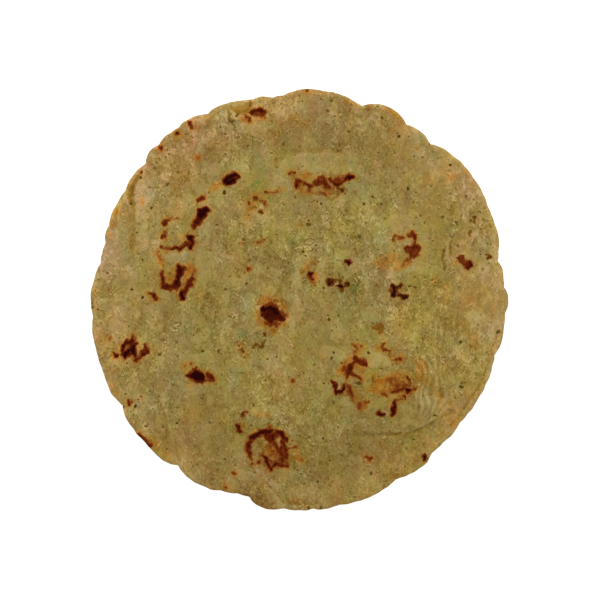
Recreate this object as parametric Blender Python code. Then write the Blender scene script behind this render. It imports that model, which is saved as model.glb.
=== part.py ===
"""A corn and nopal tostada: a thin, hand-pressed round of greenish masa, baked until it blisters.

The round lies on its underside, on the plane z = 0, with +Z up. The origin is in the middle of its
outline, on that plane. Sizes in this script are millimetres and degrees; the mesh is in metres.
"""

import math

import bmesh
import bpy
from mathutils import Matrix, Vector, geometry, noise

METRES = 0.001
FULL_TURN = 360.0

# Driving sizes of the round. The rim is widest a little above its underside.
MEAN_RADIUS = 69.2
RIM_THICKNESS = 1.7
RIM_WIDEST_AT = 0.75
TOP_ROUNDING = 1.5
UNDER_ROUNDING = 1.1

# The skin that puffed up over the middle, and how far in from the rim all relief fades out
PUFF_HEIGHT = 0.5
RELIEF_FADE = 3.0

# The slow warp that lifts the rim off the table. Each wave is a height, the number of crests
# round the rim, and the direction of one crest.
FLAT_RADIUS = 36.0
RIM_LIFT = 1.3
WARP_WAVES = (
    (0.6, 2, 28.0),
    (0.4, 3, 205.0),
    (0.2, 5, 70.0),
)

# Unevenness of the pressed dough: height and width of its lumps
LUMP_HEIGHT = 0.22
LUMP_WIDTH = 9.0

# The lobes that pressing left round the rim, anticlockwise from +X. Each row is the angle and
# offset of a notch, then the angle and offset of the crown that follows it.
RIM_LOBES = (
    (3.5, -0.9, 7.0, -0.55),
    (11.0, -2.05, 21.0, 0.55),
    (27.0, 1.0, 37.0, 1.75),
    (50.0, -1.55, 54.0, -0.15),
    (58.7, -0.9, 64.5, 1.6),
    (72.0, -1.55, 86.0, 1.1),
    (94.5, -0.95, 95.5, -1.0),
    (97.5, -1.4, 100.5, -0.45),
    (103.0, -0.75, 113.5, 0.6),
    (116.3, -0.25, 123.0, 1.6),
    (125.0, 0.9, 128.5, 1.3),
    (132.3, 0.5, 134.5, 1.2),
    (138.5, -0.75, 142.0, 0.1),
    (147.5, -0.45, 156.0, -0.35),
    (158.8, -1.1, 160.0, -0.7),
    (163.7, -1.85, 166.5, -1.55),
    (170.0, -1.7, 180.5, 0.45),
    (185.0, -0.15, 192.0, 0.8),
    (198.0, 0.6, 205.0, 0.8),
    (211.0, -0.45, 218.0, 1.15),
    (223.0, 1.0, 228.5, 1.15),
    (233.8, -0.9, 241.0, 1.1),
    (247.5, -0.3, 248.5, -0.3),
    (252.0, -1.15, 253.0, -1.2),
    (255.8, -1.45, 260.5, 1.45),
    (265.5, 0.8, 272.0, 1.1),
    (273.7, 0.55, 276.0, 1.25),
    (281.0, 0.6, 285.5, 0.95),
    (298.0, -1.3, 306.0, -0.1),
    (310.5, -1.3, 312.0, -1.35),
    (315.0, -1.6, 319.0, -1.25),
    (322.3, -1.85, 337.0, -0.8),
    (344.0, -1.6, 350.0, -0.15),
    (351.5, -0.5, 353.5, -0.35),
    (356.3, -0.45, 360.0, 0.4),
)
LOBE_SHARPNESS = 0.75

# Where the puffed skin ends: angle, distance from the middle, and width of the slope down to the
# rim. It is torn to a sharp step in the west, and creased in the south-east.
PUFF_EDGE = (
    (20.0, 61.0, 5.0),
    (42.0, 58.5, 5.0),
    (59.5, 56.0, 3.0),
    (72.5, 50.8, 2.0),
    (89.0, 48.8, 1.8),
    (102.0, 46.8, 2.5),
    (114.0, 49.2, 3.0),
    (126.0, 53.5, 3.0),
    (133.0, 55.5, 3.0),
    (139.5, 63.0, 2.4),
    (143.5, 66.0, 1.2),
    (147.0, 65.8, 0.9),
    (150.0, 63.6, 0.9),
    (155.5, 60.0, 1.4),
    (161.5, 57.8, 1.6),
    (168.0, 57.5, 2.0),
    (178.0, 58.0, 3.5),
    (210.0, 60.0, 5.0),
    (235.0, 60.0, 5.0),
    (260.0, 56.0, 5.0),
    (280.0, 48.5, 3.0),
    (291.0, 47.3, 2.0),
    (299.0, 51.4, 1.6),
    (307.0, 55.2, 1.4),
    (314.0, 58.9, 1.4),
    (321.0, 62.3, 1.6),
    (329.0, 64.0, 2.0),
    (345.0, 63.5, 3.0),
)

# Blisters of the upper face: name, place of the middle, half length, half width, turn, height
BLISTERS = (
    ("north_west_rim", -19.5, 62.0, 6.5, 3.4, 12.0, 0.75),
    ("north_west_bead", -22.8, 40.5, 4.8, 3.6, 30.0, 0.75),
    ("west_chain", -33.5, 29.0, 9.0, 3.6, 62.0, 0.7),
    ("west_ring", -41.0, 21.5, 6.2, 5.8, 0.0, 0.75),
    ("west_claw", -40.5, 6.0, 7.5, 6.6, 20.0, 0.95),
    ("north_strip", 7.5, 38.8, 14.5, 6.4, 3.0, 1.05),
    ("north_freckles", -13.0, 32.0, 7.5, 6.0, 25.0, 0.5),
    ("east_hook", 35.8, 17.8, 7.4, 8.6, 10.0, 0.75),
    ("east_bean", 55.2, 12.3, 4.2, 3.4, -30.0, 0.55),
    ("east_knot", 32.8, 2.3, 5.2, 4.4, -20.0, 0.6),
    ("middle_crumbs", 12.0, 4.9, 5.6, 3.4, -12.0, 0.4),
    ("middle_dot", 15.9, 12.2, 3.2, 3.0, 0.0, 0.4),
    ("middle_pip", 3.8, 7.8, 3.6, 3.8, 0.0, 0.5),
    ("heart", -9.8, -5.2, 8.6, 8.2, 0.0, 0.95),
    ("west_paw", -55.8, -16.2, 7.8, 6.6, -5.0, 0.8),
    ("south_west_fish", -33.3, -25.2, 7.2, 5.2, -8.0, 0.7),
    ("south_west_dot", -20.2, -41.8, 3.4, 3.6, 0.0, 0.4),
    ("south_ring", -10.5, -50.0, 9.6, 9.2, 0.0, 1.1),
    ("south_east_dome", 25.2, -28.5, 22.0, 18.5, -25.0, 1.3),
    ("south_east_west_crest", 16.5, -25.5, 6.0, 8.5, 10.0, 0.45),
    ("south_east_east_crest", 33.0, -29.5, 7.5, 6.0, 15.0, 0.4),
)
BLISTER_STEEPNESS = 1.6

# Shallow hollows of the underside, in the same order, with their depth last
UNDER_HOLLOWS = (
    ("under_north", 6.0, 33.0, 13.0, 8.0, 10.0, 0.35),
    ("under_west", -36.0, 8.0, 9.0, 14.0, 15.0, 0.4),
    ("under_south", -14.0, -38.0, 12.0, 9.0, -20.0, 0.35),
    ("under_south_east", 29.0, -24.0, 14.0, 10.0, 35.0, 0.45),
    ("under_east", 46.0, 17.0, 8.0, 11.0, -10.0, 0.3),
)

# Spacing of the mesh: round the rim, of the loops inside it, and of the points over each face
RIM_STEP = 2.0
CLOSEST_RIM_ANGLES = 0.7
TOP_INSETS = (0.35, 1.0, 2.1)
UNDER_INSETS = (0.35, 1.1)
TOP_SPACING = 2.9
UNDER_SPACING = 4.4
CLOSEST_SHARE = 0.42
DOME_RINGS = (0.36, 0.72, 1.04)
DOME_RING_SPACING = 2.4
PUFF_EDGE_SPACING = 3.0

MASA = (0.32, 0.21, 0.06, 1.0)
MASA_ROUGHNESS = 0.8


def clear_scene():
    for item in list(bpy.data.objects):
        bpy.data.objects.remove(item, do_unlink=True)


def smooth(share):
    """0 to 1, level at both ends."""
    share = min(max(share, 0.0), 1.0)
    return share * share * (3.0 - 2.0 * share)


def arch(share):
    """The height of a quarter circle over its foot, from 0 to 1."""
    share = min(max(share, 0.0), 1.0)
    return math.sqrt(1.0 - (1.0 - share) ** 2)


def angle_of(point):
    return math.degrees(math.atan2(point.y, point.x)) % FULL_TURN


def at_angle(angle, reach):
    turned = math.radians(angle)
    return Vector((reach * math.cos(turned), reach * math.sin(turned)))


def rim_radius(angle):
    """Distance from the hub to the rim. A lobe rises steeply from its notch and rounds at its crown."""
    first = RIM_LOBES[0][0]
    angle = first + (angle - first) % FULL_TURN
    ends = [lobe[0] for lobe in RIM_LOBES[1:]] + [first + FULL_TURN]
    index = next(i for i, end in enumerate(ends) if angle <= end)
    notch, low, crown, high = RIM_LOBES[index]
    if angle > crown:
        notch, low = ends[index], RIM_LOBES[(index + 1) % len(RIM_LOBES)][1]
    rise = math.sin((angle - notch) / (crown - notch) * math.pi / 2.0) ** LOBE_SHARPNESS
    return MEAN_RADIUS + low + (high - low) * rise


def puff_edge(angle):
    """Distance of the puffed skin's edge from the hub, and the width of its slope."""
    first = PUFF_EDGE[0][0]
    angle = first + (angle - first) % FULL_TURN
    ends = [row[0] for row in PUFF_EDGE[1:]] + [first + FULL_TURN]
    index = next(i for i, end in enumerate(ends) if angle <= end)
    start, radius, slope = PUFF_EDGE[index]
    next_radius, next_slope = PUFF_EDGE[(index + 1) % len(PUFF_EDGE)][1:]
    share = smooth((angle - start) / (ends[index] - start))
    return radius + (next_radius - radius) * share, slope + (next_slope - slope) * share


def rim_angles():
    """Even steps round the rim, with every notch and crown among them."""
    kept = sorted({angle % FULL_TURN for lobe in RIM_LOBES for angle in (lobe[0], lobe[2])})
    half = FULL_TURN / 2.0
    for step in range(int(FULL_TURN / RIM_STEP)):
        angle = step * RIM_STEP
        gaps = [abs((angle - other + half) % FULL_TURN - half) for other in kept]
        if min(gaps) > CLOSEST_RIM_ANGLES:
            kept.append(angle)
    return sorted(kept)


def rim_loop(inset=0.0):
    """Points along the rim, or along a line inside it."""
    return [at_angle(angle, rim_radius(angle) - inset) for angle in rim_angles()]


def outline_middle():
    """Middle of the outline's bounding box, seen from the hub that the angles are counted from."""
    across = [point.x for point in rim_loop()]
    along = [point.y for point in rim_loop()]
    return Vector((min(across) + max(across), min(along) + max(along))) / 2.0


def inset_of(point):
    """How far inside the rim a point lies, along its radius."""
    return rim_radius(angle_of(point)) - point.length


def warp(point):
    """Height of the underside above the table: nothing in the middle, a slow wave at the rim."""
    outer = smooth((point.length - FLAT_RADIUS) / (MEAN_RADIUS - FLAT_RADIUS))
    lift = RIM_LIFT
    for height, crests, direction in WARP_WAVES:
        lift += height * math.cos(math.radians(crests * (angle_of(point) - direction)))
    return outer * lift


def domes_at(domes, point):
    """Summed height at a point of the domes in a table of blisters or hollows."""
    height = 0.0
    for _, x, y, half_length, half_width, turn, rise in domes:
        away = point - Vector((x, y))
        away.rotate(Matrix.Rotation(math.radians(-turn), 2))
        reach = (away.x / half_length) ** 2 + (away.y / half_width) ** 2
        if reach < 1.0:
            height += rise * (1.0 - reach) ** BLISTER_STEEPNESS
    return height


def top_height(point):
    inset = inset_of(point)
    body = RIM_WIDEST_AT + (RIM_THICKNESS - RIM_WIDEST_AT) * arch(inset / TOP_ROUNDING)
    edge, slope = puff_edge(angle_of(point))
    puff = PUFF_HEIGHT * smooth((edge - point.length) / slope + 0.5)
    lumps = LUMP_HEIGHT * noise.noise(Vector((point.x, point.y, 0.0)) / LUMP_WIDTH)
    relief = puff + domes_at(BLISTERS, point) + lumps
    return warp(point) + body + smooth(inset / RELIEF_FADE) * relief


def under_height(point):
    rounding = RIM_WIDEST_AT * (1.0 - arch(inset_of(point) / UNDER_ROUNDING))
    return warp(point) + rounding + domes_at(UNDER_HOLLOWS, point)


def lattice(spacing, least_inset):
    """Points of a triangular lattice that lie at least so far inside the rim."""
    row_gap = spacing * math.sqrt(3.0) / 2.0
    rows = int(MEAN_RADIUS / row_gap) + 2
    columns = int(MEAN_RADIUS / spacing) + 2
    found = []
    for row in range(-rows, rows + 1):
        for column in range(-columns, columns + 1):
            point = Vector(((column + 0.5 * (row % 2)) * spacing, row * row_gap))
            if inset_of(point) >= least_inset:
                found.append(point)
    return found


def dome_points():
    """The middle of each blister and rings round it, so that its dome keeps its shape."""
    found = []
    for _, x, y, half_length, half_width, turn, _ in BLISTERS:
        middle = Vector((x, y))
        found.append(middle)
        for ring in DOME_RINGS:
            length = math.pi * ring * (half_length + half_width)
            count = max(6, round(length / DOME_RING_SPACING))
            for step in range(count):
                away = at_angle(FULL_TURN * (step + ring) / count, ring)
                away = Vector((away.x * half_length, away.y * half_width))
                away.rotate(Matrix.Rotation(math.radians(turn), 2))
                found.append(middle + away)
    return found


def puff_edge_points():
    """Two lines of points, at the top and at the foot of the puffed skin's slope."""
    count = round(2.0 * math.pi * MEAN_RADIUS / PUFF_EDGE_SPACING)
    found = []
    for step in range(count):
        angle = FULL_TURN * step / count
        edge, slope = puff_edge(angle)
        found += [at_angle(angle, edge - slope / 2.0), at_angle(angle, edge + slope / 2.0)]
    return found


def spread_out(points, gap):
    """The points in their order, without any that comes nearer than the gap to one before it."""
    kept = []
    for point in points:
        if all((point - other).length > gap for other in kept):
            kept.append(point)
    return kept


def face_points(insets, spacing, shaped=()):
    """Points inside the rim for one face: loops that follow the rim, then the scattered ones."""
    gap = spacing * CLOSEST_SHARE
    least_inset = max(insets) + gap
    scattered = [point for point in shaped if inset_of(point) >= least_inset]
    scattered = spread_out(scattered, 0.5 * gap)
    scattered = scattered + lattice(spacing, least_inset)
    loops = [point for inset in insets for point in rim_loop(inset)]
    return loops + spread_out(scattered, gap)


def add_face(mesh, rim_vertices, inner, height, upward):
    """Adds one face of the round, between the shared rim and the points inside it."""
    rim = rim_loop()
    loop = list(range(len(rim)))
    points, _, triangles, *_ = geometry.delaunay_2d_cdt(rim + inner, [], [loop], 1, 1e-5)
    middle = outline_middle()
    vertices = list(rim_vertices)
    for point in points[len(rim):]:
        place = (point - middle).to_3d() + Vector((0.0, 0.0, height(point)))
        vertices.append(mesh.verts.new(place * METRES))
    for triangle in triangles:
        corners = [vertices[index] for index in triangle]
        mesh.faces.new(corners if upward else corners[::-1])


def tostada_mesh():
    middle = outline_middle()
    mesh = bmesh.new()
    rim_vertices = []
    for point in rim_loop():
        place = (point - middle).to_3d() + Vector((0.0, 0.0, warp(point) + RIM_WIDEST_AT))
        rim_vertices.append(mesh.verts.new(place * METRES))
    top = face_points(TOP_INSETS, TOP_SPACING, dome_points() + puff_edge_points())
    under = face_points(UNDER_INSETS, UNDER_SPACING)
    add_face(mesh, rim_vertices, top, top_height, True)
    add_face(mesh, rim_vertices, under, under_height, False)
    made = bpy.data.meshes.new("tostada")
    mesh.to_mesh(made)
    mesh.free()
    made.shade_smooth()
    return made


def masa_material():
    material = bpy.data.materials.new("baked_masa")
    material.use_nodes = True
    shader = material.node_tree.nodes["Principled BSDF"]
    shader.inputs["Base Color"].default_value = MASA
    shader.inputs["Roughness"].default_value = MASA_ROUGHNESS
    shader.inputs["Metallic"].default_value = 0.0
    return material


def main():
    clear_scene()
    made = tostada_mesh()
    made.materials.append(masa_material())
    tostada = bpy.data.objects.new("tostada", made)
    bpy.context.scene.collection.objects.link(tostada)


main()
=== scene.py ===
"""Looks of a corn and nopal tostada: the round's own formulas at fine spacing, its scorch marks, toasted
washes, torn skin, creases and flecks, and the masa they lie in.

Marks are placed by their pixels in the photograph, which looks straight down on the round. The formulas
work in millimetres and degrees from the hub that the rim's angles are counted from; meshes are in metres.
"""

import math

import bpy
import numpy as np
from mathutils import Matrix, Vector, noise
from mathutils.bvhtree import BVHTree


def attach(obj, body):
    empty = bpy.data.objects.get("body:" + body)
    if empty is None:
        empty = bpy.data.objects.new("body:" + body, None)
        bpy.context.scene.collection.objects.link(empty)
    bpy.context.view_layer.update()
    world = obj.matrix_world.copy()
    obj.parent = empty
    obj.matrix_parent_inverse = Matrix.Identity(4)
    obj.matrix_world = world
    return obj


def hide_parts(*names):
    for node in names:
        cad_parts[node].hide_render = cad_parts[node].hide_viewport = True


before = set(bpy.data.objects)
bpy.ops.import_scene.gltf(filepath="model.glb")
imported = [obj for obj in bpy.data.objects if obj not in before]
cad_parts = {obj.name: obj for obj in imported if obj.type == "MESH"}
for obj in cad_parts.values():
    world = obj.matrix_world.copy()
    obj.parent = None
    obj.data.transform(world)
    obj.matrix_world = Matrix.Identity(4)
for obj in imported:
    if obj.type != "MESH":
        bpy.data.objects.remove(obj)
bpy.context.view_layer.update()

METRES = 0.001
FULL_TURN = 360.0

# How the photograph sees the round: pixels to the millimetre, the pixel of the hub, and its size
PIXELS_PER_MM = 3.0
HUB_PIXEL = (299.5, 299.5)
PHOTO_PIXELS = 600
PHOTO_MIDDLE = (300.0, 300.0)

# The round, as in the part's source
MEAN_RADIUS = 69.2
RIM_THICKNESS = 1.7
RIM_WIDEST_AT = 0.75
TOP_ROUNDING = 1.5
UNDER_ROUNDING = 1.1
PUFF_HEIGHT = 0.5
RELIEF_FADE = 3.0
FLAT_RADIUS = 36.0
RIM_LIFT = 1.3
WARP_WAVES = (
    (0.6, 2, 28.0),
    (0.4, 3, 205.0),
    (0.2, 5, 70.0),
)
LUMP_HEIGHT = 0.22
LUMP_WIDTH = 9.0
RIM_LOBES = (
    (3.5, -0.9, 7, -0.55), (11, -2.05, 21, 0.55), (27, 1, 37, 1.75), (50, -1.55, 54, -0.15),
    (58.7, -0.9, 64.5, 1.6), (72, -1.55, 86, 1.1), (94.5, -0.95, 95.5, -1), (97.5, -1.4, 100.5, -0.45),
    (103, -0.75, 113.5, 0.6), (116.3, -0.25, 123, 1.6), (125, 0.9, 128.5, 1.3), (132.3, 0.5, 134.5, 1.2),
    (138.5, -0.75, 142, 0.1), (147.5, -0.45, 156, -0.35), (158.8, -1.1, 160, -0.7),
    (163.7, -1.85, 166.5, -1.55), (170, -1.7, 180.5, 0.45), (185, -0.15, 192, 0.8), (198, 0.6, 205, 0.8),
    (211, -0.45, 218, 1.15), (223, 1, 228.5, 1.15), (233.8, -0.9, 241, 1.1), (247.5, -0.3, 248.5, -0.3),
    (252, -1.15, 253, -1.2), (255.8, -1.45, 260.5, 1.45), (265.5, 0.8, 272, 1.1), (273.7, 0.55, 276, 1.25),
    (281, 0.6, 285.5, 0.95), (298, -1.3, 306, -0.1), (310.5, -1.3, 312, -1.35), (315, -1.6, 319, -1.25),
    (322.3, -1.85, 337, -0.8), (344, -1.6, 350, -0.15), (351.5, -0.5, 353.5, -0.35),
    (356.3, -0.45, 360, 0.4),
)
LOBE_SHARPNESS = 0.75
PUFF_EDGE = (
    (20, 61, 5), (42, 58.5, 5), (59.5, 56, 3), (72.5, 50.8, 2), (89, 48.8, 1.8), (102, 46.8, 2.5),
    (114, 49.2, 3), (126, 53.5, 3), (133, 55.5, 3), (139.5, 63, 2.4), (143.5, 66, 1.2), (147, 65.8, 0.9),
    (150, 63.6, 0.9), (155.5, 60, 1.4), (161.5, 57.8, 1.6), (168, 57.5, 2), (178, 58, 3.5), (210, 60, 5),
    (235, 60, 5), (260, 56, 5), (280, 48.5, 3), (291, 47.3, 2), (299, 51.4, 1.6), (307, 55.2, 1.4),
    (314, 58.9, 1.4), (321, 62.3, 1.6), (329, 64, 2), (345, 63.5, 3),
)
BLISTERS = (
    ("north_west_rim", -19.5, 62, 6.5, 3.4, 12, 0.75),
    ("north_west_bead", -22.8, 40.5, 4.8, 3.6, 30, 0.75),
    ("west_chain", -33.5, 29, 9, 3.6, 62, 0.7),
    ("west_ring", -41, 21.5, 6.2, 5.8, 0, 0.75),
    ("west_claw", -40.5, 6, 7.5, 6.6, 20, 0.95),
    ("north_strip", 7.5, 38.8, 14.5, 6.4, 3, 1.05),
    ("north_freckles", -13, 32, 7.5, 6, 25, 0.5),
    ("east_hook", 35.8, 17.8, 7.4, 8.6, 10, 0.75),
    ("east_bean", 55.2, 12.3, 4.2, 3.4, -30, 0.55),
    ("east_knot", 32.8, 2.3, 5.2, 4.4, -20, 0.6),
    ("middle_crumbs", 12, 4.9, 5.6, 3.4, -12, 0.4),
    ("middle_dot", 15.9, 12.2, 3.2, 3, 0, 0.4),
    ("middle_pip", 3.8, 7.8, 3.6, 3.8, 0, 0.5),
    ("heart", -9.8, -5.2, 8.6, 8.2, 0, 0.95),
    ("west_paw", -55.8, -16.2, 7.8, 6.6, -5, 0.8),
    ("south_west_fish", -33.3, -25.2, 7.2, 5.2, -8, 0.7),
    ("south_west_dot", -20.2, -41.8, 3.4, 3.6, 0, 0.4),
    ("south_ring", -10.5, -50, 9.6, 9.2, 0, 1.1),
    ("south_east_dome", 25.2, -28.5, 22, 18.5, -25, 1.3),
    ("south_east_west_crest", 16.5, -25.5, 6, 8.5, 10, 0.45),
    ("south_east_east_crest", 33, -29.5, 7.5, 6, 15, 0.4),
)
UNDER_HOLLOWS = (
    ("under_north", 6, 33, 13, 8, 10, 0.35),
    ("under_west", -36, 8, 9, 14, 15, 0.4),
    ("under_south", -14, -38, 12, 9, -20, 0.35),
    ("under_south_east", 29, -24, 14, 10, 35, 0.45),
    ("under_east", 46, 17, 8, 11, -10, 0.3),
)
BLISTER_STEEPNESS = 1.6

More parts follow.
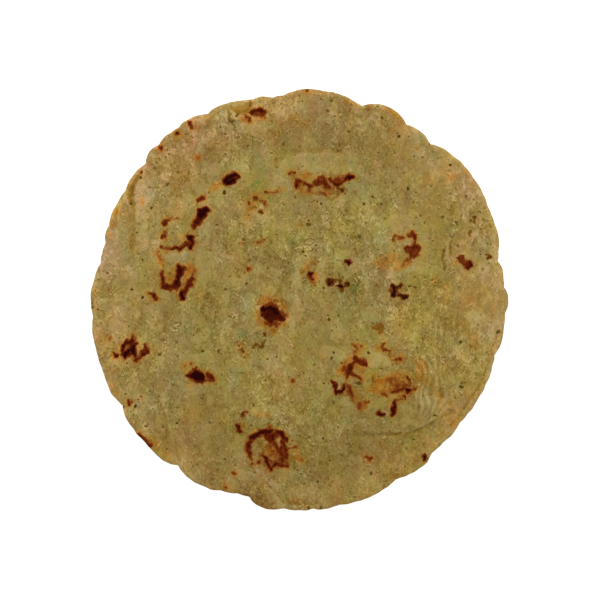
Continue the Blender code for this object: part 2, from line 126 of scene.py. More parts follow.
# Scorched marks of the upper face, each with its name and its strokes. A stroke has how dark it is, from
# 0 to 1, and its points: across and down in the photograph, and half its width there, in pixels.
SCORCHES = (
    ("south_pip", (0.45, (293, 381, 1.7))),
    ("middle_studs", (0.55, (248.5, 269, 1.6)), (0.38, (257, 242, 0.9), (261, 241, 1.1), (264, 240, 0.9)),
     (0.3, (240.5, 243, 1.2))),
    ("north_orange_dot", (0.2, (198, 158, 1.4))),
    ("west_stud", (0.36, (110.5, 338, 1.4))),
    ("north_stud", (0.6, (306.5, 90, 1.2))),
    ("ledge_stud", (0.4, (141, 172.5, 0.9))),
    ("rim_patch", (0.88, (251.5, 112.5, 1.3), (255, 111, 1.8), (259, 110.5, 2), (264, 111.5, 1.7)),
     (0.6, (255, 113.5, 1.2), (263.5, 114, 1.4)),
     (0.66, (246, 116, 0.8), (248.5, 117.5, 1), (249.5, 120.5, 1.2))),
    ("rim_drops", (0.75, (189.5, 122.5, 0.8), (190, 125, 1.5), (192, 127.5, 1.5)),
     (0.9, (177.5, 133, 1.7), (176.5, 134, 1.2)), (0.8, (160.5, 148.5, 1.2), (161, 147, 0.9))),
    ("bead", (1, (225, 181.5, 1.8), (227.5, 178.5, 2.3), (231, 176, 2), (235.5, 175, 1.9),
      (238.5, 177, 1.3)), (1, (227, 182.5, 1.9), (231, 181.5, 2.3), (234, 180.5, 2), (237, 178, 1.4)),
     (0.86, (230, 179, 1.6), (234.5, 178, 1.2))),
    ("chain", (0.8, (198, 201, 0.9), (200.5, 198.5, 1.8), (201, 197, 0.9)),
     (0.66, (201.5, 199.5, 1.5), (203.5, 198, 1.3)),
     (1, (208, 211, 1.4), (204.5, 210.5, 3.2), (201.5, 212.5, 3.8), (199.5, 216, 2.6), (202.5, 217.5, 1.5)),
     (0.84, (200, 219.5, 2), (197, 222, 3.1), (195.5, 224.5, 2.2)),
     (0.72, (194, 225.5, 1.8), (193.5, 227.5, 1.7)),
     (0.76, (164.5, 223.5, 1.6), (166, 222, 1.8), (168.5, 220, 1.4), (170, 219.5, 0.7)),
     (0.34, (171, 219, 0.8), (174, 219, 0.7), (177, 218, 1.1))),
    ("ring", (1, (190.5, 237.5, 2.9), (192, 241, 1.7), (192, 244.5, 1.3), (191, 247, 1.6), (190, 249, 1.2)),
     (0.7, (188.5, 243.5, 1), (188.5, 246.5, 1.2)),
     (0.86, (187, 243, 0.9), (185.5, 245, 1.1), (183, 246.5, 1.2), (181, 248, 1), (179, 249, 1.7),
      (175.5, 247.5, 1.6), (172.5, 248.5, 1), (170.5, 248.5, 0.7)),
     (0.5, (170, 248.5, 0.6), (164, 248, 0.5)), (0.6, (161.5, 246.5, 0.8)),
     (0.82, (162.5, 238, 1.5), (163, 236.5, 1.1)), (0.36, (164.5, 232.5, 1.4))),
    ("west_orange_dots", (0.32, (160.5, 259, 1.4), (161, 255.5, 0.8)), (0.32, (157.5, 252, 1.7))),
    ("claw", (0.96, (178, 265.5, 0.9), (180, 268, 2.3), (180.5, 270.5, 2.8), (179.5, 274, 2.5),
      (177.5, 277.5, 2.2), (177, 281, 2.2), (177.5, 284.5, 2.3)),
     (0.85, (182, 268.5, 1.7), (184.5, 268.5, 1.1)),
     (0.84, (176, 286.5, 2), (172, 287, 1.6), (168.5, 287, 2.5), (165, 287, 2), (162.5, 286.5, 1.6)),
     (0.78, (168.5, 288.5, 1.6), (170, 290, 1.2)),
     (0.78, (161.5, 271.5, 0.5), (162, 274.5, 0.7), (163, 278.5, 1.4), (163.5, 281, 1.2), (162, 284, 1.5),
      (163, 286.5, 1.6)), (0.42, (194, 269.5, 0.7), (193.5, 273, 1.1), (193, 276.5, 1.4)),
     (0.8, (192.5, 280, 1.9), (190, 281.5, 2.1), (190.5, 284.5, 1.8), (188, 284.5, 2), (186.5, 288, 1.9),
      (185.5, 291, 1.6)), (1, (183, 292, 1.8), (181.5, 295, 2.2), (182.5, 298, 2)),
     (0.34, (170, 273.5, 1.4))),
    ("low_hook", (0.78, (149, 293.5, 0.9), (151.5, 293.5, 1), (154, 295, 1.2), (155.5, 297.5, 1.3),
      (155.5, 299.5, 1))),
    ("west_freckle", (0.76, (255, 198.5, 1.4), (257, 199.5, 0.9))),
    ("freckles", (0.84, (266, 192.5, 1.2)), (0.4, (268.5, 193, 1), (272, 193, 1), (276, 191.5, 0.8)),
     (0.55, (260.5, 200.5, 1), (263, 201, 0.7)), (0.48, (265.5, 201.5, 1.2), (265, 204, 0.9)),
     (0.56, (249, 203.5, 1.1))),
    ("low_freckles", (0.7, (259.5, 211, 0.9), (262, 212, 1.1)),
     (0.42, (254.5, 207.5, 1), (252.5, 208, 0.7))),
    ("strip", (0.66, (288.5, 173.5, 0.6), (291.5, 172.5, 1), (294.5, 173.5, 0.7)),
     (0.86, (299, 181, 1.8), (296.5, 181.5, 1.9), (296.5, 184.5, 1.5), (296, 187, 0.8)),
     (0.66, (301.5, 182, 1.1)), (0.76, (305, 183.5, 0.9), (308.5, 185.5, 1.4), (311.5, 187, 1.7)),
     (0.5, (309, 189.5, 1.1), (309, 191.5, 0.7)),
     (0.78, (314.5, 183.5, 1.2), (318, 183.5, 1.7), (319.5, 181, 1.6), (318.5, 178.5, 1)),
     (0.7, (319.5, 177.5, 1.1), (323, 177, 1.1), (323.5, 180, 1)),
     (0.8, (324, 182.5, 1.4), (326.5, 185.5, 1.5), (329, 187.5, 1.3)),
     (0.84, (329.5, 179.5, 0.9), (333, 182.5, 1.2), (336, 184, 1.3), (339.5, 184, 1.5), (342.5, 182, 1.4),
      (345, 180, 1)), (1, (346.5, 178, 1.7), (349.5, 177, 2.2), (352.5, 177, 1.5))),
    ("strip_dot", (0.78, (343, 189.5, 1.1), (340.5, 188.5, 0.6), (337.5, 187.5, 0.6))),
    ("strip_flake", (0.22, (339.5, 187.5, 0.7), (338, 192, 0.8), (337.5, 196.5, 0.6)),
     (0.5, (326.5, 195, 0.8), (323, 193.5, 0.7), (319.5, 193, 0.6))),
    ("strip_orange_dots", (0.3, (307.5, 174, 1.3)), (0.3, (338, 177, 1.4))),
    ("middle_round", (1, (347.5, 261.5, 1.9), (349.5, 262.5, 1.8), (348.5, 264.5, 1.4))),
    ("middle_round_shade", (0.4, (346, 269, 1.2))),
    ("pip", (1, (311, 273.5, 2.2)), (0.66, (309.5, 275.5, 1.4), (309.5, 278, 1.2)),
     (0.9, (311.5, 279, 1.1)), (0.22, (313, 282, 1.4)),
     (0.12, (313.5, 262, 1.2), (312, 266, 1.4), (311.5, 269.5, 1.4))),
    ("crumbs", (0.9, (328.5, 280.5, 1.6), (329.5, 284, 1.9), (332, 282, 1.7), (333.5, 280, 1.3)),
     (0.6, (334.5, 280, 0.9), (337.5, 279.5, 0.9), (340.5, 281.5, 1.1)),
     (1, (339, 286, 1.8), (341.5, 286.5, 1.8), (343.5, 286, 0.8)),
     (0.42, (339.5, 289.5, 1.2), (342, 290.5, 1.4)),
     (0.85, (346, 283.5, 1.6), (348, 285, 1.7), (348.5, 283, 1.1))),
    ("hook", (0.8, (412, 231, 0.7), (412.5, 234, 1.1), (414, 236.5, 1.3), (415, 238.5, 1)),
     (0.66, (409, 235.5, 1.1), (411, 236, 1.2)), (0.66, (414.5, 240.5, 1), (414, 244.5, 1.2)),
     (0.86, (405, 248.5, 0.9), (408, 247.5, 1.1), (411.5, 247.5, 1.3), (414.5, 246.5, 1.4),
      (418.5, 247.5, 1.3)),
     (0.66, (407.5, 250.5, 1.4), (411, 251.5, 1.7), (411.5, 255, 1.7), (414.5, 256, 1.4), (417.5, 254, 1.4),
      (418.5, 250.5, 1)), (0.34, (410, 257.5, 1.2), (407, 259.5, 1), (404.5, 262, 1), (403, 265, 0.7)),
     (0.5, (399, 236.5, 0.6), (396, 235.5, 0.8), (394, 237.5, 0.7), (393.5, 240, 0.5)),
     (0.55, (400.5, 238.5, 1.1), (403.5, 237.5, 0.7))),
    ("knot", (1, (392.5, 286, 1.3), (394.5, 287.5, 2.1), (394, 291.5, 2), (393, 295, 1.4)),
     (0.88, (396.5, 287.5, 1.5), (401, 285, 1.1)), (0.7, (391, 291, 1.1)),
     (0.94, (398.5, 295, 1.2), (401, 296, 1.9), (403.5, 297.5, 1.8), (406.5, 296.5, 1.1)),
     (0.34, (402.5, 289.5, 1.1), (405.5, 289.5, 0.9))),
    ("bean", (0.72, (459.5, 259.5, 2), (462.5, 257.5, 1.6), (462, 261.5, 2.4)),
     (0.76, (463.5, 263.5, 2), (465.5, 264.5, 1.8)),
     (0.9, (467.5, 267, 1.9), (470.5, 265.5, 1.7), (470, 261, 1.2))),
    ("east_rim_marks", (0.5, (471, 219.5, 0.6), (472.5, 221.5, 0.8), (474, 223, 0.6)),
     (0.7, (473, 217.5, 0.5), (475, 218, 0.8), (475, 220, 0.7), (474, 222.5, 0.5)),
     (0.5, (469.5, 235.5, 1.2), (470, 229, 0.7)), (0.72, (487.5, 258, 0.8), (490, 257, 1.1)),
     (0.62, (486.5, 254.5, 1.1))),
    ("heart", (1, (263.5, 309, 2.2), (268, 308.5, 3.4), (274, 309.5, 3.6), (276.5, 313, 3.4)),
     (0.9, (264, 314.5, 3), (269, 315.5, 5.2), (275.5, 317, 4.4), (282, 318.5, 2.2)),
     (0.92, (270.5, 320.5, 2.8), (272.5, 323.5, 1.4)),
     (0.66, (278.5, 311.5, 1.6), (282.5, 313, 2), (285.5, 315.5, 1.3)),
     (0.56, (268, 304.5, 1.4), (272.5, 304, 1.6), (276.5, 306, 1.4)),
     (0.5, (266, 322.5, 1.2), (269, 324.5, 1.2), (275.5, 322.5, 1.4), (279, 323, 1.5)),
     (0.8, (276.5, 325.5, 1.2), (277, 327, 0.8)), (0.52, (274.5, 300.5, 1.2))),
    ("drip", (0.76, (264.5, 334, 1.1)),
     (0.5, (264.5, 341, 1.1), (263, 344.5, 1.3), (261, 347, 1.2), (258, 345.5, 0.8)),
     (0.52, (255, 345, 1.1), (254, 347, 1.3)), (0.56, (242, 348.5, 1.3), (242.5, 351, 1.4)),
     (0.5, (239.5, 345.5, 1.2))),
    ("paw", (0.92, (133, 337, 0.9), (133, 339.5, 1.6), (131.5, 342, 2.1), (128.5, 342, 1.7),
      (125.5, 344, 1.6), (123, 346.5, 1.6), (123, 350, 1.6)), (0.84, (127.5, 341, 1.1)),
     (1, (136, 343.5, 1.1), (134, 346.5, 1.9), (132.5, 350, 2.5), (134, 353, 2.6), (135, 355.5, 1.5)),
     (1, (129, 351, 2.1), (126, 353.5, 2.6), (125, 355.5, 2)), (0.66, (129.5, 353.5, 1.6), (130, 356, 1.2)),
     (0.88, (138.5, 357, 1.1), (137, 359.5, 1.6)), (0.62, (139, 355, 1), (141, 357, 1.1)),
     (0.84, (145.5, 345.5, 0.7), (146, 348, 1.8), (147, 351, 1.5), (147, 353, 1.1)),
     (0.94, (145, 352.5, 1.9), (142, 354.5, 1.4)), (0.68, (145.5, 351, 1.8), (143, 352, 1.2)),
     (0.95, (116, 355, 1.8))),
    ("fish", (1, (188.5, 375.5, 1.7), (192, 375.5, 3.2), (196, 376, 5), (200, 377, 4.4), (203, 379.5, 1.9)),
     (0.94, (195.5, 372, 2.6), (196.5, 368.5, 0.9)), (0.8, (197, 380.5, 1.5), (201.5, 382, 1.2)),
     (0.86, (208.5, 375, 1.7), (210, 377, 2.1), (212.5, 379, 1.7), (214, 381, 0.9)),
     (0.54, (205.5, 380, 1.5), (211, 381, 1.4)), (0.44, (191.5, 363, 1.1))),
    ("south_ring", (0.95, (272, 430.5, 1.8), (266, 431.5, 2), (260, 432.5, 2.3), (256, 434.5, 2.5),
      (252, 438, 2.3)), (0.7, (268.5, 427, 0.9), (271, 427.5, 0.9)),
     (0.82, (249.5, 441.5, 2.2), (248, 445.5, 2.2), (248.5, 450.5, 1.9), (250, 455, 1.5), (251, 458.5, 1)),
     (0.84, (266.5, 434.5, 2.4), (270, 437, 3.4), (270.5, 440.5, 2.8), (274.5, 434.5, 2.4)),
     (0.95, (276, 432, 1.6), (280.5, 433, 1.9), (283, 436.5, 1.6), (287, 439.5, 1.2)),
     (0.8, (283, 437, 1.4), (283, 442, 1.4), (284, 447.5, 1.6), (286, 451, 1.8), (286, 456.5, 1.8)),
     (0.72, (274, 443, 1.2), (277, 447.5, 1.4), (279, 451, 1.6), (282, 454, 2), (284, 457, 2)),
     (0.6, (284, 453, 1.4), (280.5, 453, 1.2)), (0.86, (281, 459.5, 1.2))),
    ("south_star", (0.9, (263, 455, 1.1), (266, 457.5, 1.5), (267, 462, 1.5), (269.5, 466.5, 1.4),
      (271, 469, 1.5), (273.5, 466, 0.9), (276.5, 463.5, 0.9), (282, 463, 0.9), (284.5, 460, 1.2)),
     (0.84, (277, 464.5, 0.7), (280.5, 465.5, 0.8), (286.5, 466, 1)),
     (0.5, (286, 460, 0.6), (286.5, 465.5, 0.7)), (0.6, (260.5, 455, 1.1), (263.5, 455, 1.1)),
     (0.42, (270.5, 456, 0.9), (273.5, 455, 1.1), (276.5, 454.5, 0.9))),
    ("south_studs", (0.78, (259.5, 462.5, 1.1)), (0.78, (252.5, 464, 1.1))),
    ("south_olive_dot", (0.3, (259.5, 443.5, 2))),
    ("south_spot", (0.88, (237.5, 426, 1.7), (238, 428.5, 1.6), (239.5, 431.5, 1.2))),
    ("south_spot_arm", (0.84, (243, 415, 1.2), (244, 413, 0.9))),
    ("south_spot_thread", (0.44, (245, 412, 0.8), (248, 411.5, 0.9))),
    ("south_whiskers", (0.5, (288.5, 449, 0.5), (293, 447.5, 0.6), (296.5, 446, 0.9)),
     (0.26, (290.5, 456.5, 0.6), (296.5, 459, 0.8), (302.5, 460, 1.3))),
    ("south_west_stud", (0.8, (234.5, 474, 1.4))),
    ("south_bottom_rim", (0.5, (225.5, 487.5, 1.6))),
    ("rim_scorch", (0.96, (141.5, 437.5, 1), (144.5, 440.5, 0.8), (147, 443.5, 1.5), (149.5, 445.5, 1.2)),
     (0.6, (138, 434, 1), (143.5, 439, 1.4), (147.5, 441.5, 1.7), (150, 444.5, 1.3))),
    ("south_west_comma", (0.8, (128.5, 400.5, 1), (129.5, 403, 1.4), (130, 404, 0.9)),
     (0.5, (131.5, 401.5, 1.5))),
    ("dome_arm", (0.8, (354.5, 357.5, 1.2), (358, 360.5, 1.9), (361.5, 361, 1.8), (364, 362.5, 1.9),
      (366.5, 365.5, 1.2)), (0.76, (357, 360.5, 1.6), (353, 363, 1.4), (349.5, 367, 1.7)),
     (0.74, (364, 359.5, 1.1)),
     (0.84, (350.5, 367, 1.6), (348.5, 370, 2), (347, 373, 1.8), (347, 376, 1.3), (346.5, 379.5, 0.9)),
     (0.6, (345, 367.5, 1.2), (344, 370.5, 1.2)),
     (0.72, (350.5, 372, 1.3), (353.5, 374.5, 1.2), (356.5, 376, 1), (361, 379, 0.6))),
    ("dome_horn", (0.48, (353, 344.5, 1.1), (355.5, 346.5, 1.2), (357.5, 348, 1.3), (355.5, 350.5, 1.3)),
     (0.46, (360.5, 345.5, 1))),
    ("dome_mark", (0.55, (383, 343, 0.8), (382.5, 346.5, 1.2), (383, 349, 1.3), (385.5, 350, 1.1),
      (388, 351.5, 1.2)), (0.34, (389, 353.5, 0.8), (390, 358, 0.5))),
    ("dome_bar", (0.6, (397, 359, 1)), (0.9, (399.5, 359, 1.2), (401.5, 359.5, 0.9))),
    ("dome_cup", (0.95, (332.5, 382, 1.1), (334.5, 383.5, 1.3), (335.5, 387, 1.2), (335, 390.5, 1.4),
      (336.5, 393, 1.3), (339, 392, 1.4), (342.5, 391.5, 1.2), (344, 388.5, 0.9), (343.5, 385, 0.7))),
    ("dome_strip", (0.4, (346.5, 381, 1), (347.5, 385.5, 1.2), (348.5, 391, 1.5), (351, 396, 1.6),
      (353, 401, 0.8)), (0.8, (349.5, 386.5, 0.6), (350.5, 390, 1), (352, 394, 1.1), (352.5, 397, 0.7))),
    ("dome_lower", (0.42, (358.5, 403.5, 1.8), (361, 403, 1.6), (359.5, 407.5, 1.6)),
     (0.62, (358.5, 406, 0.9)), (0.4, (364, 402, 1), (368.5, 402.5, 0.9))),
    ("dome_dash", (1, (377.5, 413.5, 1.1), (380.5, 414, 1.5), (383.5, 414.5, 1.1))),
    ("dome_foot", (0.95, (395, 401.5, 0.9), (394, 405, 1.2), (393.5, 408.5, 2.2), (393.5, 411.5, 2.2),
      (392, 414, 1.3))),
    ("dome_ankle", (0.42, (394.5, 400, 0.8), (397, 401, 1.2), (399.5, 400.5, 1.3), (402, 398.5, 1)),
     (0.74, (404, 397, 1.2))),
    ("crest", (0.78, (408, 377, 0.9), (409.5, 379.5, 1.1)), (0.55, (410, 382, 1.1), (409.5, 385, 1.1)),
     (1, (406.5, 389.5, 1.8), (408, 391, 1.9), (410, 389.5, 1.1)),
     (0.84, (404, 388.5, 0.9), (400, 389.5, 1.1), (396, 391, 1.2), (391.5, 391.5, 0.7)),
     (0.45, (380.5, 392.5, 0.8), (384, 394, 0.9), (387.5, 395, 0.7)),
     (0.36, (373, 377.5, 1.3), (373.5, 381, 0.9)), (0.42, (391.5, 380.5, 1.4), (391.5, 383, 1.4)),
     (0.36, (386.5, 379, 1.4), (385.5, 385.5, 1.5)), (0.38, (398, 383, 1.2), (402.5, 385.5, 1.4))),
    ("crest_far_dot", (0.78, (415, 389.5, 1.1))),
    ("south_east_pip", (0.58, (365.5, 456, 0.8), (369.5, 459.5, 1.3), (372.5, 458, 1.1))),
    ("rim_black_pip", (1, (424.5, 456.5, 1.6), (425, 459, 1.4))),
)

# Browned scabs that fill the scorched marks between their strokes. Each is one stroke with a name.
SCABS = (
    ("rim_patch", 0.42, (252, 113, 2.4), (257, 114, 3), (262, 114, 3)),
    ("rim_patch_crumb", 0.26, (244, 117.5, 1.6), (249, 119, 2)),
    ("strip_west", 0.62, (297.5, 182, 3.4)),
    ("strip_west_top", 0.3, (291, 173.5, 2), (296, 177, 2.6), (299, 188, 2.4)),
    ("strip_second", 0.34, (304, 184, 2), (309.5, 186.5, 3.4), (308.5, 191, 2)),
    ("strip_middle", 0.6, (315, 183, 2.4), (319, 182, 3.8), (325, 184, 3)),
    ("strip_middle_fade", 0.28, (324, 179, 3), (326, 188.5, 3.4), (332, 189, 3)),
    ("strip_bridge", 0.45, (331, 181.5, 2), (336, 182, 3), (342, 181, 2.6)),
    ("strip_bridge_fade", 0.25, (336, 178.5, 2.4), (343, 177.5, 2.6), (334, 186.5, 2.4)),
    ("strip_low", 0.25, (312, 193, 1.6), (320, 193.5, 1.4), (326, 195, 1.6)),
    ("bead", 0.82, (227, 180.5, 2.6), (231.5, 178.5, 3.6), (236, 177, 2.6)),
    ("chain", 0.85, (204, 212.5, 4.2), (199.5, 217, 3.4), (196.5, 222.5, 3.4)),
    ("ring_post", 0.74, (191, 238.5, 3.2), (191, 245, 2.6)),
    ("claw_bar", 0.74, (181, 269.5, 3.6), (179, 275.5, 3.6), (177.5, 281.5, 3.2)),
    ("claw_palm", 0.7, (163, 284, 2.2), (167, 287, 3.4), (172, 287.5, 3), (177.5, 284, 3.2)),
    ("claw_right", 0.72, (192, 279, 2.4), (189.5, 283.5, 2.8), (186, 289, 2.2), (182.5, 295, 3)),
    ("hook_head", 0.42, (410.5, 234.5, 2.2), (413.5, 238, 1.6)),
    ("hook_body", 0.6, (407, 249.5, 2), (411.5, 251, 3.6), (416, 251, 3.6), (412, 254.5, 3)),
    ("hook_tail", 0.12, (409, 261, 2.6), (406, 264, 2.2)),
    ("hook_ring", 0.14, (398, 238.5, 2)),
    ("knot", 0.8, (393.5, 288.5, 2.6), (393.5, 293.5, 2.2), (398.5, 287, 1.6)),
    ("bean", 0.64, (461.5, 260.5, 3), (465.5, 263.5, 3.4), (469.5, 265, 3)),
    ("middle_round", 0.9, (348, 262.5, 2.2)),
    ("pip", 0.8, (311, 273.5, 1.8)),
    ("rim_black_pip", 1, (424.5, 457, 1.8), (425, 458.5, 1.6)),
    ("heart", 0.81, (265, 311, 4.2), (273, 312, 5.4), (277, 316, 5)),
    ("paw", 0.78, (131.5, 343, 2.4), (133.5, 349, 3), (133, 353.5, 2.8), (126.5, 353.5, 2.6)),
    ("paw_middle", 0.3, (127.5, 347, 2.4)),
    ("paw_lobe", 0.68, (146, 348.5, 2), (146.5, 351.5, 3.2), (143, 354.5, 2.4)),
    ("paw_bridge", 0.5, (138, 355.5, 1.6), (140.5, 356.5, 1.6), (137, 359.5, 2)),
    ("fish", 0.84, (192.5, 376, 3.2), (197, 375.5, 5.4), (201, 378.5, 4)),
    ("fish_ends", 0.56, (196.5, 370, 2), (209.5, 377.5, 2.8), (212, 380, 1.8)),
    ("south_ring_west", 0.72, (268, 431.5, 2.4), (262, 433, 2.8), (256, 435, 2.8), (251, 440, 2.6),
     (248.5, 446, 2.4), (249.5, 453, 1.6)),
    ("south_ring_north", 0.7, (267, 434, 3.4), (270.5, 438, 5), (276.5, 434.5, 2.6), (281.5, 435, 2)),
    ("south_ring_east", 0.72, (282.5, 439, 1.6), (283, 445, 2), (280, 450, 2.6), (283, 453, 3.2),
     (285, 457, 3.2)),
    ("south_star", 0.38, (267, 460, 2.6), (271, 463.5, 3.2), (277, 461.5, 3.2), (283, 462.5, 2.6)),
    ("south_spot", 0.5, (238, 428, 2.8)),
    ("south_east_arm", 0.62, (355, 359.5, 2.6), (360, 361.5, 3.2), (364.5, 364, 2.8)),
    ("south_east_inside", 0.2, (353, 367, 2), (357, 369, 2.6), (360, 372, 2)),
    ("south_east_elbow", 0.76, (350.5, 367, 2.8), (348, 373, 2.6)),
    ("south_east_lower", 0.24, (359, 404.5, 2.6), (360.5, 408, 2.6), (365.5, 402.5, 1.8)),
    ("crest", 0.28, (388, 379.5, 2.8), (394, 381, 4.2), (400, 384, 4.4)),
    ("crest_middle", 0.3, (392, 387, 3.4), (400, 388, 3.4), (405, 385, 3), (376, 381, 2.4)),
    ("crest_low", 0.2, (381, 391.5, 2), (386, 393, 2.2), (394, 391, 1.8)),
    ("crest_east", 0.3, (409.5, 381, 2), (408, 388, 2.8)),
    ("ankle", 0.26, (396.5, 400.5, 2), (401.5, 398.5, 2.6)),
    ("foot", 0.84, (394, 408.5, 2.8)),
)

# Washes of toast, ochre where the skin is gone, and pale flour and grains with painted highlights, in
# the same form. The first number is their strength.
TOASTS = (
    ("rim_crowns", 0.23, (300, 95, 2.5), (312, 92.5, 2.5), (322, 94, 2.5), (346, 102, 2.5), (352, 104, 2.5),
     (370, 108, 2.5), (388, 110.5, 3), (396, 115, 3)),
    ("rim_north_west_tan", 0.1, (196, 119.5, 2.5), (206, 117, 2.8)),
    ("rim_north_east_tan", 0.12, (440, 152, 3), (455, 163, 3.5), (466, 172, 3.5), (474, 182, 3)),
    ("rim_ledge", 0.08, (149, 165, 3), (141, 174, 3.5), (134, 183, 3.5), (130, 192, 3.5), (128, 201, 3)),
    ("ledge_orange", 0.62, (141.5, 203.5, 1.6), (142.5, 199, 1.3)),
    ("rim_mark", 0.42, (193.5, 127.5, 2.2), (196.5, 127, 1.8), (176, 136, 3), (181.5, 135, 2.4),
     (157.5, 150, 2.4)),
    ("north_orange_dot", 1, (198, 158, 2.4)),
    ("north_west_orange", 0.16, (194, 144, 2.8), (190.5, 138.5, 2)),
    ("rim_patch", 0.5, (240, 118, 2), (246, 120.5, 2.4), (264, 117.5, 2.4), (257, 117, 2.4)),
    ("bead_tail", 0.5, (225, 175, 2.2), (220.5, 184, 3), (216, 186.5, 3), (211, 190.5, 2.4)),
    ("chain_tail", 0.4, (193.5, 229.5, 2.2), (192, 233.5, 2)),
    ("chain_pink", 0.22, (167, 222, 3.5)),
    ("ring", 0.46, (163.5, 236, 3.4), (168, 239, 2.5)),
    ("ring_inside", 0.36, (181, 238, 5), (184, 243, 3)),
    ("ring_south", 0.46, (158, 253, 3.6), (160, 259, 3.2), (162, 264, 3), (166, 251, 3)),
    ("claw_inside", 0.54, (172, 272, 4), (171, 279, 4), (186.5, 272, 3.4), (184.5, 278, 3)),
    ("claw_east", 0.58, (190, 267, 4), (195, 271, 3), (187, 274, 3)),
    ("low_hook", 0.46, (152, 298.5, 2.8)),
    ("freckle", 0.42, (253.5, 193, 1.2), (257.5, 195.5, 1.8), (262, 198, 1.4), (266, 202, 1.8),
     (265.5, 206, 1.4), (253, 202.5, 2), (250, 207, 1.6), (248, 212, 1.4), (247.5, 218.5, 1.8),
     (268, 192.5, 1.4), (276, 191, 2), (284, 189, 2)),
    ("strip", 0.58, (303, 177, 3), (307.5, 174.5, 2.6), (314, 178.5, 3), (301.5, 190, 3),
     (338, 177.5, 2.6)),
    ("strip_south", 0.5, (304, 192.5, 3), (314, 191, 3), (322, 191, 3), (330, 193.5, 3.4)),
    ("middle_pip", 0.9, (315, 274, 1.6), (316, 278, 1.8), (313.5, 282, 2)),
    ("middle_pip_plume", 0.36, (314, 263, 2.6), (309, 266, 4), (304, 270, 3.6), (302, 274, 2)),
    ("north_pinkish", 0.14, (296, 121, 4.5), (305, 124, 4.5)),
    ("north_west_rim_orange", 0.48, (117, 212, 2.4), (112.5, 224, 2.4), (110, 235, 2.4)),
    ("middle_orange_dot", 0.34, (300.5, 226, 3.4)),
    ("hook", 0.8, (411.5, 258.5, 1.8), (407.5, 263, 2.4), (404, 266, 1.8)),
    ("hook_wash", 0.33, (402, 260, 5), (394, 259, 6.5), (386, 260, 6), (378, 263, 4), (388, 266, 4),
     (398, 267, 4)),
    ("hook_edge", 0.45, (420, 250, 2), (417.5, 259, 2.4), (411, 230, 2)),
    ("hook_ring", 0.55, (398, 238.5, 3)),
    ("east", 0.3, (434.5, 280, 3), (446.5, 286, 2), (456, 263, 3), (472, 264, 2)),
    ("east_tan_dot", 0.4, (450, 178, 2.8)),
    ("crater", 0.5, (418, 149, 1.8)),
    ("heart_halo_north", 0.46, (259, 304, 3.6), (264, 300.5, 4.6), (272, 300, 5), (279, 303, 4.4),
     (284, 308, 3.6)),
    ("heart_halo_west", 0.5, (257.5, 312, 2.4), (258.5, 317, 2.6)),
    ("heart_halo_south", 0.42, (259.5, 319.5, 2.6), (263, 324.5, 3.6), (270, 327.5, 4), (278, 325.5, 3.8)),
    ("heart_halo_east", 0.5, (284.5, 322.5, 3), (287, 316, 2.2)),
    ("heart_halo_far_south", 0.36, (274, 332, 4)),
    ("drip", 0.24, (240, 346, 4), (244, 353, 3)),
    ("paw", 0.38, (138, 348, 3.4), (139, 355, 2.6), (120, 356, 2.4), (119, 346, 2), (110, 338, 3),
     (114.5, 370.5, 2.4)),
    ("fish", 0.5, (186, 366, 5), (186.5, 371.5, 3), (206, 373, 2.6), (208.5, 382, 2.6)),
    ("fish_low", 0.22, (190.5, 384, 3.4)),
    ("south_ring_inside", 0.56, (268, 447, 4.4), (273, 450, 4.4), (275, 456, 4), (269, 455, 3)),
    ("south_ring_west", 0.22, (253, 462, 4)),
    ("south_whisker", 0.5, (293, 449.5, 2.6), (296.5, 458, 2.4), (302.5, 461, 2.6)),
    ("south_orange_patch", 0.38, (259.5, 414, 2.6), (267, 414, 3)),
    ("south_spot", 0.3, (240.5, 425, 4.4), (243.5, 430.5, 2.4)),
    ("south_west_rim", 0.44, (140, 432, 2.4), (148, 439, 3), (155, 445, 3)),
    ("west_rim_tans", 0.24, (113, 387, 2.6), (117, 393, 2.8), (97.5, 280, 2.4), (95.5, 292, 2),
     (95, 305, 2), (96, 338, 2), (101, 341, 2.4)),
    ("south_west_studs", 0.3, (142, 398.5, 2.4), (131.5, 401, 2.6)),
    ("south_west_low", 0.2, (166.5, 453, 2.6), (166, 457.5, 2.4)),
    ("south_bottom_orange", 0.26, (291, 501, 2.4), (298, 501.5, 2.4), (275, 503, 1.4)),
    ("south_bottom_rim", 0.3, (226, 487, 4)),
    ("south_east_elbow", 0.8, (340.5, 371, 3), (346, 363.5, 2.6)),
    ("dome", 0.46, (351, 358, 3.4), (358.5, 366.5, 3), (362.5, 371.5, 2.6), (356, 354, 3),
     (363.5, 346, 3), (357, 344.5, 2), (376, 348.5, 2.4), (380.5, 346, 1.8), (391, 356, 2.4),
     (396.5, 361, 3.4), (401, 356.5, 2.4)),
    ("dome_low", 0.5, (354.5, 391, 3), (355.5, 398, 3), (345.5, 391, 2.4), (362, 406.5, 3.4),
     (367.5, 402, 2)),
    ("east_crest", 0.54, (376, 384, 3), (386, 380, 4), (394, 381, 5.4), (402, 384, 5.4),
     (394, 387, 4)),
    ("east_crest_south", 0.5, (371, 389, 2.6), (380, 391, 3.4), (390, 391, 3)),
    ("east_crest_north", 0.34, (395, 374, 3.6), (406, 375, 4)),
    ("south_east_ankle", 0.5, (399.5, 398, 3), (406, 394, 2.6)),
    ("east_wash", 0.3, (419, 361, 4.6), (423, 368, 6), (419, 376, 5.4)),
    ("east_wash_fringe", 0.18, (427, 380, 4), (434, 388, 4), (440, 398, 3.4)),
    ("north_east_of_patch", 0.08, (396, 329, 6)),
    ("south_east_pip", 0.34, (367, 458, 3)),
    ("south_east_rim_tan", 0.1, (452, 423, 3.4), (444, 434, 3), (434, 446, 3), (421, 462, 3),
     (402, 474, 3)),
    ("far_east_tan", 0.14, (473, 335, 4), (474, 345, 4), (470, 300, 4)),
    ("north_east_rim_patch", 0.1, (397, 121, 3), (404, 130, 2)),
)
